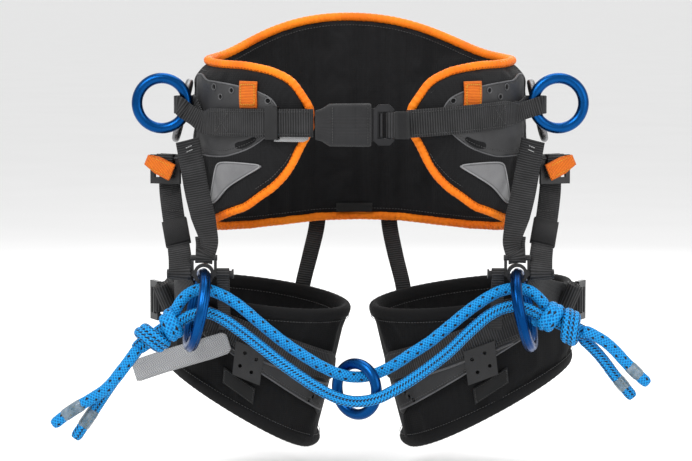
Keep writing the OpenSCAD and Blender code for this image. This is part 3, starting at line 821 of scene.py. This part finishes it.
RING = (26.5, 5.75)
for mirror, side, sn in SIDES:
    blue_ring(f"ring_side_{sn}", f"side_ring_{sn}", V(210, -45, 25), V(1, 0, 0), UP, *RING,
              mirror=mirror)
    lean, yaw = 11.5, -10
    tall = V(-sin(lean) * cos(yaw), -sin(lean) * sin(yaw), cos(lean))
    flat = V(-sin(yaw), cos(yaw), 0)
    blue_ring(f"ring_bridge_{sn}", f"bridge_ring_{sn}", LINK - 38.5 * tall, flat, tall, 38.5, 6,
              0.1, mirror)
    lean_h = V(-sin(14), 0, cos(14))
    path = []
    for k in range(48):
        angle = 2 * math.pi * k / 48
        rise = 14 * math.sin(angle) + (17 if math.sin(angle) >= 0 else -17)
        path.append(V(190, -14 + 14 * math.cos(angle), 16) + lean_h * rise)
    keep(tube(f"hip_ring_{sn}", spline(path, 2.2, True), 4, GREY_METAL, "belt", closed=True,
              mirror=mirror, sides=24, aim=(1, 0, 0)), "grey_metal", *(["hip_rings"] if side else []))
blue_ring("ring_centre", "centre_ring", V(-4, -128, -268.5), V(cos(-40), sin(-40), 0), UP, *RING)


# ---- Belt pad ----
def pad_edge(d, reach):
    """A round shoulder: 0 at the edge, 1 from reach inwards."""
    return math.sqrt(1 - (1 - clamp(d / reach)) ** 2)


def padded_wall(name, columns, rows, place, half, height, width_at, creases, spread, look, body,
                cap, node, closed=False, mirror=False):
    """A padded wall with a soft rim, puffed by at most cap millimetres.

    Creases are (column place, depth in millimetres, inner side only).
    """
    verts, faces, pinned = [], [], []
    n = 2 * rows
    for x in columns:
        for k in range(n):
            outer = k >= rows
            y = (n - 1 - k if outer else k) / (rows - 1)
            rim = pad_edge(min(y, 1 - y) * height(x), 9)
            ends = 1.0 if closed else pad_edge(width_at(x), 9)
            deep = 0.0
            for at, depth, one_side in creases:
                if not (one_side and outer):
                    deep = max(deep, depth * math.exp(-((x - at) / spread) ** 2))
            puffy = 0.8 + 0.2 * math.sin(math.pi * y)
            r = max(0.9, half * puffy * (0.3 + 0.7 * min(rim, ends)) - deep)
            if rim < 0.2 or ends < 0.2 or deep > 1.2:
                pinned.append(len(verts))
            verts.append(place(x, y, r if outer else -r))
    m = len(columns)
    for i in range(m if closed else m - 1):
        for k in range(n):
            a, b = i * n + k, i * n + (k + 1) % n
            c, d = ((i + 1) % m) * n + k, ((i + 1) % m) * n + (k + 1) % n
            faces.append((a, c, d, b))
    if not closed:
        faces.append(tuple(range(n)))
        faces.append(tuple((m - 1) * n + k for k in reversed(range(n))))
    obj = make(name, verts, faces, look, body, None, mirror)
    puff(obj, pinned, cap)
    finer = obj.modifiers.new("finer", "SUBSURF")
    finer.levels = finer.render_levels = 1
    keep(obj, "lining", node)


def belt_place(t, y, r):
    foot, top = pad_foot(t), pad_top(t)
    z = foot + (top - foot) * y
    lean = max(0.0, 1 - (top - z) / 18)
    return waist(t, r - rim_lean(t) * lean * lean * (3 - 2 * lean), z)


belt_columns = [-PAD_END + 2 * PAD_END * k / 170 for k in range(171)]
belt_creases = [(t, 4.2, True) for t in (-36, -27, -16.5, 0.5, 9, 17, 28)]
belt_creases += [(t, 2.0, False) for t in (-95, -62, 62, 95)]
padded_wall("belt_pad", belt_columns, 40, belt_place, PAD_HALF,
            lambda t: pad_top(t) - pad_foot(t),
            lambda t: (PAD_END - abs(t)) * 2.4, belt_creases, 1.7, LINING, "belt", 3.0, "back_pad")

lift = PIPING_R - 1
rim = [waist(t, -rim_lean(t), pad_top(t) + lift) for t in range(-159, 160, 3)]
rim += [waist(PAD_END + 1.6, 0, z) for z in (22, 11, 0)]
rim += [waist(t, 0, pad_foot(t) - lift) for t in range(159, -160, -3)]
rim += [waist(-PAD_END - 1.6, 0, z) for z in (0, 11, 22)]
random.seed(7)
BEATS, BEAT_LENGTH = 64, 33
beat = [random.uniform(0.6, 1.4) for _ in range(BEATS)]


def puckered(travelled, angle):
    pull = 0.035 * beat[int(travelled / BEAT_LENGTH) % BEATS]
    return PIPING_R * (1.02 + pull * math.sin(travelled * 0.95) - 0.05 * math.cos(2 * angle))


keep(tube("belt_binding", spline(rim, 1.8, True), puckered, PIPING, "belt", closed=True, sides=14),
     "piping", "edge_piping")
rows = []
for r in (-5.1, 5.1):
    rows.append([waist(t, r - rim_lean(t) * 0.8, pad_top(t) - 5.5) for t in range(-156, 157, 2)])
    rows.append([waist(t, r, pad_foot(t) + 5.5) for t in range(-156, 157, 2)])
stitches("binding_stitches", rows, "belt")

# ---- Hip plates, badges, gear tabs and labels ----
PLATE_MID, DEG = 130, 2.63


def belt_x(t):
    """The place across a flat drawing of the hip, in millimetres, of t degrees round the belt."""
    return (t - PLATE_MID) * DEG


def on_belt(x, z, r):
    return waist(PLATE_MID + x / DEG, r, z)


def belt_loop(pairs, step=2.5):
    return smooth_loop([(belt_x(t), z) for t, z in pairs], step)


PLATE_LINE = [(107, -26), (113, -29), (120, -30), (127, -29.5), (132, -27), (139, -21), (144, -13.5),
              (149, -2), (152.6, 10), (151.5, 22), (148.5, 33), (142, 40.5), (136, 44), (130, 46.5),
              (122, 48.5), (117, 49.5), (114.5, 52), (112, 55.5), (109, 55.5), (107, 52), (106.8, 20)]
PLATE_HOLES = [(122, 43, 2.6), (132, 40, 2.2), (126, 33, 2.2), (148, 30, 2.2)]
PLATE_SLOT = [(134, -19.5), (136.5, -20), (139, -18), (141.5, -14), (142.8, -10), (142, -8.5),
              (139.8, -11), (137, -13.5), (134, -15.5)]
BADGE_LINE = [(120.5, -79), (119.5, -74), (121, -58), (123, -42), (125, -37), (130, -35.5),
              (140, -36), (145, -37.5), (144, -41), (138, -50), (130, -62), (123.5, -76)]
for mirror, side, sn in SIDES:
    outline = belt_loop(PLATE_LINE)
    holes = [circle_loop(belt_x(t), z, r) for t, z, r in PLATE_HOLES] + [belt_loop(PLATE_SLOT, 1.2)]
    plate = patch(f"hip_panel_{sn}", outline, holes, on_belt, 6.5, 9.5, 2.2, PLATE, "belt", mirror)
    keep(plate, "hip_plate", f"hip_plate_{sn}")
    edge = [on_belt(x, z, 8.6) for x, z in outline]
    bead(f"hip_bead_{sn}", spline(edge, 2.0, True), 0.9, "belt", mirror)
    for k, (t, z, r) in enumerate(PLATE_HOLES):
        eye = [on_belt(x, y, 9.5) for x, y in circle_loop(belt_x(t), z, r + 0.7)]
        bead(f"hip_eyelet_{sn}_{k}", eye, 0.6, "belt", mirror)
    low = [waist(t, 9.75, z) for t, z in (
        (109, -22), (118, -24), (128, -23), (136, -18.5), (141, -13), (147, -3), (149.5, 8))]
    stitches(f"hip_stitches_{sn}", [spline(low, 1.5)], "belt", mirror)
    badge = belt_loop(BADGE_LINE, 2.0)
    mark = patch(f"hip_triangle_{sn}", badge, [], on_belt, 6.5, 10.6, 3.2, BADGE, "belt", mirror, 2.5)
    keep(mark, "badge", *(["hip_badges"] if side else []))
    rim_path = [on_belt(x * 0.97, z, 10.1) for x, z in badge]
    bead(f"hip_triangle_rim_{sn}", spline(rim_path, 1.8, True), 0.8, "belt", mirror, BADGE_RIM, "badge")
    tab_path = [waist(140.2, 10 + 0.9 * sin(k * 18), 22 + 28 * k / 10) for k in range(11)]
    lie = (waist(144.5, 10, 30) - waist(136, 10, 30)).normalized()
    keep(strap(f"gear_loop_{sn}", tab_path, lie, 21.5, 2.4, ORANGE_WEB, "belt", mirror),
         "orange_tab", *(["gear_tabs"] if side else []))
    corners = [(137.3, 25.5), (143.2, 25.5), (143.2, 46.5), (137.3, 46.5), (137.3, 25.5)]
    tack = []
    for (a, b), (c, d) in zip(corners, corners[1:]):
        tack += [waist(a + (c - a) * k / 4, 12.4, b + (d - b) * k / 4) for k in range(4)]
    tack.append(waist(137.3, 12.4, 25.5))
    stitches(f"gear_tack_{sn}", [tack], "belt", mirror, 2.6, 1.7, 0.5, YELLOW_THREAD, "orange_tab")
LABEL_DEG = 2.85
label_line = [(t * LABEL_DEG, z) for t, z in ((-9, -103), (5, -103), (5, -93), (-9, -93))]
label = patch("back_label_weave", label_line, [],
              lambda x, z, r: waist(x / LABEL_DEG, -6.2 - r, z), 0, 1.3, 0.8, LABEL, "belt")
keep(label, "label", "back_label")


# ---- Waist webbing ----
WEB_OUT = 16.6


def arc(centre, radius, start, end, z, steps=18):
    return [V(centre[0] + radius * cos(start + (end - start) * k / steps),
              centre[1] + radius * sin(start + (end - start) * k / steps), z)
            for k in range(steps + 1)]


for mirror, side, sn in SIDES:
    z_ring, z_front = ((6, 8), (17, 7))[side]
    z_loop = 23.5

    def mid(t):
        return z_ring + (z_front - z_ring) * (t - 113) / 52

    run = [waist(t, WEB_OUT, mid(t)) for t in (165, 158, 150, 141, 132, 124, 118)]
    turn = arc((186, -45), 10.4, 256, 527, z_loop)
    for k, point in enumerate(turn):
        point.z = z_ring + (z_loop - z_ring) * min(1, 0.6 + k / 8)
    back = [waist(114.5, 13.2, mid(114.5)), waist(119, 13.2, mid(119))]
    body_path = spline(run + turn + back, 2.0)

    def belt_width(x):
        return 29 - 10 * clamp((x - 0.5) / 0.1) + 6 * max(0.0, (x - 0.9) / 0.1)

    def on_web(t, z):
        return waist(t, WEB_OUT + 1.35, mid(t) + z)
    webbing(f"waist_web_{sn}", body_path, UP, belt_width, 2.2, "belt", mirror,
            f"waist_webbing_{sn}", *(["side_ring_loops"] if side else []))
    rows = [[on_web(t, z) for t in range(122, 165, 2)] for z in (-11.5, 11.5)]
    stitches(f"waist_edge_stitches_{sn}", rows, "belt", mirror, 3.0, 2.0, 0.3)
    cross = [[on_web(a, p), on_web(b, q)] for a, p, b, q in (
        (127, -10, 133, 10), (127, 10, 133, -10), (127, -10, 127, 10), (133, -10, 133, 10))]
    stitches(f"waist_cross_stitches_{sn}", cross, "belt", mirror, 2.2, 1.7, 0.4)
tail = [waist(t, 12.2, -1) for t in (151, 154, 157, 160, 163)]
keep(strap("waist_grey_tail", spline(tail, 2), UP, lambda x: 22 - 5 * max(0, x - 0.85) / 0.15, 1.8,
           GREY_WEB, "belt", True), "grey_webbing", "waist_strap_tail")

# ---- Front buckle ----
BUCKLE_Y, BUCKLE_Z, BAR_X = -132, 6, 31.5
sleeve = [V(49, -136.2, 6), V(42, -136.3, 6), V(35, -136.2, 6)]
sleeve += arc((BAR_X, BUCKLE_Y), 4.15, 270, 90, 6, 12)
sleeve += [V(36, -127.9, 6), V(43, -127.9, 6), V(48, -128.3, 6)]
webbing("buckle_turn", spline(sleeve, 1.5), UP, 26.5, 2.1, "belt", False, "waist_sleeve")
keep(strap("buckle_band", [V(35.5, -137.5, 6), V(40, -138.2, 6), V(46, -138.2, 6), V(50, -137.3, 6)],
           UP, 28.5, 1.6, SMOOTH_WEB, "belt"), "webbing")
cover_rings, cover_along = [], []
for k in range(41):
    x = -46.5 + 57.5 * k / 40
    tall = lookup(x, [(-46.5, 15), (-40, 17), (-32, 22), (9, 22.4), (11, 21)])
    deep = lookup(x, [(-46.5, 3.4), (-40, 4.4), (-31, 5.4), (-8, 5.5), (-5, 4.6), (-2, 5.5),
                      (9, 5.4), (11, 4.4)])
    loop_points = []
    for j in range(32):
        angle = 2 * math.pi * j / 32
        cx, cz = math.cos(angle), math.sin(angle)
        sag = 0.5 * math.sin(x * 0.35 + cz * 2)
        loop_points.append(V(x, BUCKLE_Y - math.copysign(abs(cx) ** 0.55, cx) * (deep + 0.2 * sag),
                             BUCKLE_Z + math.copysign(abs(cz) ** 0.45, cz) * tall))
    cover_rings.append(loop_points)
    cover_along.append(x * MM)
cover_across = [j * 3.2 * MM for j in range(33)]
cover = loft("buckle_sleeve", cover_rings, (cover_along, cover_across), COVER, "belt")
keep(cover, "webbing", "buckle_cover")
hem = [[V(x, BUCKLE_Y - 5.75, BUCKLE_Z - 19 + 38 * k / 16) for k in range(17)] for x in (7.5, -29)]
stitches("cover_stitches", hem, "belt", False, 2.8, 2.0, 0.35)


# ---- Drop straps ----
FRONT = [(183, -50, -14), (177, -62, -42), (171, -76, -70), (163, -93, -98), (158, -104, -116),
         (159, -110, -126), (162, -115, -129)]
REAR = [(202, -24, -30), (203, -26, -48), (203, -31, -66), (198, -57, -93), (193, -77, -113),
        (188.5, -97, -133), (188, -104, -142)]
for mirror, side, sn in SIDES:
    turn = [LINK + V(0, -5 * cos(a), 17 + 5 * sin(a)) for a in (-20, -60, -100, -150, -190, -225)]
    turn += [V(163, -103, -120), V(164, -100, -112)]
    front = spline([Vector(p) for p in FRONT] + turn, 1.5)

    def front_lie(x):
        return V(0.95, 0.2, 0).lerp(V(0.95, -0.25, 0.1), min(1.0, x * 1.3))
    keep(strap(f"drop_strap_{sn}", front, front_lie,
               lambda x: 26 - 8 * clamp((x - 0.5) / 0.2), 2.2, WEB, "belt", mirror, 0.5),
         "webbing", f"drop_strap_front_{sn}")
    under = [V(188, -112 + 5.4 * cos(a), -150 + 5.4 * sin(a)) for a in (20, -20, -60, -100, -140, -180)]
    under += [V(188, -115.5, -144), V(188.6, -106, -134), V(190, -97, -124)]
    rear_line = spline([Vector(p) for p in REAR] + under, 1.5)
    webbing(f"drop_rear_{sn}", rear_line, V(0.97, 0.2, 0), 23.5, 2.2, "belt", mirror,
            f"drop_strap_rear_{sn}")
    marks = []
    face = V(0.2, -0.95, 0) * 1.6
    for a, b in ((0.035, 0.05), (0.065, 0.08)):
        p, q = front[int(a * len(front))], front[int(b * len(front))]
        marks.append([p + face - V(4, 0, 0), q + face + V(3, 0.7, 0)])
    stitches(f"drop_marks_{sn}", marks, "belt", mirror, 2.4, 2.3, 0.55, WHITE_THREAD)
    across = [V(187.5 + 2.2 * k, -56 - 0.4 * k, -88) for k in range(9)]
    stitches(f"drop_tack_{sn}", [across], "belt", mirror, 2.4, 1.8, 0.45)
    adjuster = V(207, -38, -34)
    yaw = (cos(20), sin(20))

    def at_adjuster(x, y, z):
        return adjuster + V(x * yaw[0] - y * yaw[1], x * yaw[1] + y * yaw[0], z)
    wide = V(yaw[0], yaw[1], 0)
    wrap = [at_adjuster(0, 4.6, -14), at_adjuster(0, 4.4, -7), at_adjuster(0, 4.0, -1)]
    wrap += [at_adjuster(0, 4.0 * cos(a), 4.0 * sin(a)) for a in range(20, 181, 20)]
    wrap += [at_adjuster(0, -4.0, -2), at_adjuster(0, -3.4, -5)]
    webbing(f"adjuster_loop_{sn}", spline(wrap, 1.2), wide, 20, 1.8, "belt", mirror,
            *(["drop_buckle_loops"] if side else []))
    lean = (cos(24), sin(24))

    def tab_at(x, y, z):
        return at_adjuster(-9 + x * lean[0] - z * lean[1], y, -23 + x * lean[1] + z * lean[0])
    loop_path = [tab_at(2, -5.9, 8.5), tab_at(16, -5.7, 8.5), tab_at(29, -5.9, 8.5),
                 tab_at(32.6, -6.6, 8.5), tab_at(33.6, -7.9, 8.5), tab_at(32.6, -9.2, 8.5),
                 tab_at(29, -9.7, 8.5), tab_at(16, -9.9, 8.5), tab_at(1, -9.6, 8.5)]
    tab_wide = tab_at(0, 0, 1) - tab_at(0, 0, 0)
    keep(strap(f"pull_loop_{sn}", spline(loop_path, 1.5), tab_wide,
               lambda x: 18 - 7 * max(0.0, 1 - abs(x - 0.52) / 0.22), 1.9, ORANGE_WEB,
               f"drop_buckle_{sn}", mirror), "orange_tab", f"pull_tab_{sn}")
    rows = [[tab_at(7 + k * 4, -10.95, z) for k in range(6)] for z in (2.5, 14.5)]
    stitches(f"pull_stitches_{sn}", rows, f"drop_buckle_{sn}", mirror, 3, 2, 0.35, YELLOW_THREAD,
             "orange_tab")
    keeper = [V(196.5, -63.5, -99), V(194, -73, -109), V(191, -85, -121)]
    keep(strap(f"drop_keeper_{sn}", keeper, V(0.97, 0.2, 0), 27, 6.6, SMOOTH_WEB, "belt", mirror),
         "keeper", *(["drop_keepers"] if side else []))

# ---- Leg loops ----
LEG_MID, SPAN = 255, 1.62


def leg_spot(u, z):
    """A place on the flat drawing of the leg's front, z millimetres above the panel's foot."""
    return (u - LEG_MID) * SPAN, panel_foot(u) + z


for mirror, side, sn in SIDES:
    body = f"leg_loop_{sn}"

    def leg_place(u, y, r):
        foot, top = leg_foot(u), leg_top(u)
        return leg(side, u, r, foot + (top - foot) * y)
    leg_creases = [(u, 3.6, True) for u in (52, 78, 104, 130, 210, 235, 260, 285, 310)]
    padded_wall(f"leg_cushion_{sn}", [360 * k / 120 for k in range(120)], 30, leg_place, LEG_HALF,
                lambda u: leg_top(u) - leg_foot(u), None, leg_creases, 2.6, LEG_LINING, body, 2.6,
                f"leg_pad_{sn}", closed=True, mirror=mirror)
    for rim_name, height, way in (("top", leg_top, -1), ("foot", leg_foot, 1)):
        rim = [leg(side, u, 0, height(u) + way * 2) for u in range(0, 360, 6)]
        keep(tube(f"leg_rim_{rim_name}_{sn}", spline(rim, 3, True),
                  lambda s, a: 6.6 + 0.15 * math.sin(s * 0.8) - 1.2 * math.cos(2 * a), BINDING, body,
                  closed=True, mirror=mirror, sides=16, aim=UP), "lining")
        rows = [[leg(side, u, r, height(u) + way * 9) for u in range(0, 361, 4)] for r in (-5.4, 5.4)]
        stitches(f"leg_rim_stitches_{rim_name}_{sn}", rows, body, mirror)

    def on_leg(x, z, r):
        return leg(side, LEG_MID + x / SPAN, r, z)

    def panel_line(steps, low, high):
        us = [low + (high - low) * k / steps for k in range(steps + 1)]
        top = [((u - LEG_MID) * SPAN, leg_band(u) + 8) for u in reversed(us)]
        return [leg_spot(u, 0) for u in us] + top
    eyes = [circle_loop(*leg_spot(u, z), 1.7, 14) for u, z in ((222, 4), (218.5, 10), (215, 16))]
    panel = patch(f"leg_flap_{sn}", smooth_loop(panel_line(10, 204, 302), 3), eyes, on_leg, 5.8, 8.4,
                  2.0, FLAP, body, mirror, 4)
    keep(panel, "hip_plate", f"leg_panel_{sn}")
    edge = [leg(side, u, 8.0, panel_foot(u) + 0.6) for u in range(205, 302, 3)]
    bead(f"leg_flap_edge_{sn}", spline(edge, 2.5), 0.9, body, mirror, closed=False)
    rows = [[leg(side, u, 8.6, panel_foot(u) + 4) for u in range(208, 300, 2)]]
    stitches(f"leg_flap_stitches_{sn}", rows, body, mirror, 3.2, 2.3, 0.36)
    zipper = [leg(side, u, 9.2, leg_band(u) - 19) for u in range(206, 292, 3)]
    bead(f"leg_piping_{sn}", spline(zipper, 2), 1.3, body, mirror, closed=False, sides=10)
    teeth = [[leg(side, u, 10.3, leg_band(u) - 19) for u in range(207, 291, 2)]]
    stitches(f"leg_teeth_{sn}", teeth, body, mirror, 2.0, 1.1, 0.6)
    web_path = [leg(side, u, 10.6, leg_band(u)) for u in range(203, 345, 4)]
    web_path.append(leg(side, 345, 11, -186))

    def leg_width(x):
        return 30 - 12 * max(0.0, (0.05 - x) / 0.05) ** 2 - 6 * max(0.0, (x - 0.85) / 0.15)
    webbing(f"leg_web_{sn}", spline(web_path, 2.2), UP, leg_width, 2.2, body, mirror,
            f"leg_webbing_{sn}")
    rows = [[leg(side, u, 11.95, leg_band(u) + z) for u in range(207, 340, 3)] for z in (-11.5, 11.5)]
    stitches(f"leg_web_stitches_{sn}", rows, body, mirror, 3.0, 2.0, 0.3)
    hang = [V(143, -112, -150) + V(0, 5.2 * cos(a), 5.2 * sin(a)) for a in range(-40, 221, 20)]
    hang = [V(143, -97, -180), V(143, -103.5, -166)] + hang + [
        V(143, -113.5, -162), V(143, -105, -176), V(143, -93, -190), V(143, -81, -202),
        V(143, -70, -213)]
    webbing(f"leg_hanger_{sn}", spline(hang, 1.5), V(1, 0, 0), 13, 1.9, body, mirror)
    bar, outwards, onwards = leg(side, 336, 19, -188), V(cos(336), sin(336), 0), V(-sin(336), cos(336), 0)
    loop_bar = [bar + outwards * x + onwards * y for x, y in (
        (-8, -4), (-2, -4.6), (3.2, -3.2), (4.6, 0), (3.2, 3.2), (-2, 4.6), (-8, 4.6))]
    webbing(f"leg_bar_loop_{sn}", spline(loop_bar, 1.2), UP, 24, 1.8, body, mirror)
    centre = leg(side, 322, LEG_HALF + 21, -180)
    axis = V(sin(22), -sin(12), cos(22)).normalized()
    flat = axis.cross(V(1, 0, 0)).normalized()
    other = axis.cross(flat)
    coil = []
    for k in range(90):
        angle = 2 * math.pi * 2.6 * k / 89
        r = 1.6 + 7.0 * k / 89
        coil.append(centre + r * (math.cos(angle) * flat + math.sin(angle) * other))
    coil.append(coil[-1] + (coil[-1] - coil[-2]).normalized() * 3)
    webbing(f"leg_coil_{sn}", even(coil, 1.4), axis, 28, 2.0, body, mirror, f"leg_roll_{sn}")
    arc_strap = [LINK + V(10, -1, -10), LINK + V(20, 12, -15), LINK + V(31, 33, -20),
                 leg(side, 320, 17, -178), leg(side, 330, 14, -182)]
    webbing(f"leg_arc_{sn}", spline(arc_strap, 2), V(0, -0.35, 1), 24, 2.0, body, mirror)
    outline = [leg_spot(*spot) for spot in ((264, -36), (286, -36), (286, -19), (264, -19))]
    mark = patch(f"leg_label_{sn}_weave", outline, [], on_leg, 5.3, 6.6, 0.8, LABEL, body, mirror)
    keep(mark, "label", f"leg_label_{sn}")
    border = [leg(side, u, 6.9, panel_foot(u) + z) for u, z in (
        (265, -34.5), (275, -34.5), (285, -34.5), (285, -20.5), (275, -20.5), (265, -20.5),
        (265, -34.5))]
    stitches(f"leg_label_border_{sn}", [border], body, mirror, 2.4, 1.7, 0.28)

keep(strap("leg_grey_tail", spline([(139, -73, -226), (158, -76, -232), (180, -71, -239),
                                    (210, -72, -248), (239, -79, -257)], 2), V(0.15, 0, 1),
           lambda x: 24 - 9 * max(0.0, (0.06 - x) / 0.06) ** 2 - 3 * max(0.0, (x - 0.96) / 0.04), 1.8,
           GREY_WEB, "leg_loop_left", True, 0.3), "grey_webbing", "leg_strap_tail")

# ---- Rear straps: sewn to the belt, and bending down to each leg loop ----
for mirror, points, sn in (
        (True, [(46, 129.5, -92), (48, 125.5, -120), (55, 111, -150), (63, 97, -182),
                (66, 94.5, -207)], "left"),
        (False, [(32, 129.5, -92), (34, 125.5, -120), (40, 109, -150), (48, 87, -182),
                 (51, 84, -207)], "right")):
    line = spline(points, 2.5)
    piece = strap(f"rear_web_{sn}", line, lambda x: V(1, -0.15 + 0.6 * x, 0), 18, 1.8, WEB, None,
                  mirror)
    flip = -MM if mirror else MM
    top, foot = [(flip * x, y * MM, z * MM) for x, y, z in (points[1], points[3])]
    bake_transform(piece)
    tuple(top)
    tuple(foot)
    keep(piece, "webbing", f"rear_strap_{sn}")

# ---- CAD parts that keep their shape: better finish and softened edges ----
KEPT = dict.fromkeys(("waist_buckle_frame", "waist_buckle_latch"), DARK_METAL)
KEPT.update(dict.fromkeys(("lower_links", "waist_keeper", "rear_adjusters"), PLASTIC))
for _, _, sn in SIDES:
    KEPT.update(dict.fromkeys((f"drop_buckle_{sn}", f"leg_buckle_{sn}", f"leg_plate_{sn}"), PLASTIC))
for name, look in KEPT.items():
    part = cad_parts[name]
    for slot in part.material_slots:
        slot.material = look.mat
    if not part.material_slots:
        part.data.materials.append(look.mat)
    bevel = part.modifiers.new("soft_edges", "BEVEL")
    bevel.width = 0.5 * MM
    bevel.segments = 2
    bevel.limit_method = "ANGLE"
    bevel.angle_limit = math.radians(40)
    bevel.harden_normals = True

# ---- Floor and light ----
floor_mesh = bpy.data.meshes.new("floor")
FLOOR_Z, FLOOR_HALF = CAD_BOX[0][2] - 0.03, 200.0
corners = [(x * FLOOR_HALF, y * FLOOR_HALF, FLOOR_Z) for x, y in ((-1, -1), (1, -1), (1, 1), (-1, 1))]
floor_mesh.from_pydata(corners, [], [(0, 1, 2, 3)])
floor = bpy.data.objects.new("floor", floor_mesh)
paper = Look("pale_paper", Roughness=0.9)
paper.color(paper.mix(paper.noise(3, 2), (0.9, 0.9, 0.9), (0.94, 0.94, 0.94)))
floor_mesh.materials.append(paper.mat)
scene.collection.objects.link(floor)
world = bpy.data.worlds.new("studio")
scene.world = world
world.use_nodes = True
world.node_tree.nodes["Background"].inputs[0].default_value = (1, 1, 1, 1)
world.node_tree.nodes["Background"].inputs[1].default_value = 0.85
LAMPS = (("key", (-1.3, -1.8, 1.7), 1.2, 42), ("fill", (1.7, -1.6, 0.6), 1.6, 16),
         ("top", (0.1, 0.3, 1.9), 1.5, 22), ("back", (0.3, 1.9, 1.0), 1.5, 14))
for name, place, width, power in LAMPS:
    lamp = bpy.data.objects.new(name, bpy.data.lights.new(name, "AREA"))
    lamp.data.size = width
    lamp.data.energy = power
    lamp.location = place
    lamp.rotation_euler = (TARGET - Vector(place)).to_track_quat("-Z", "Y").to_euler()
    scene.collection.objects.link(lamp)
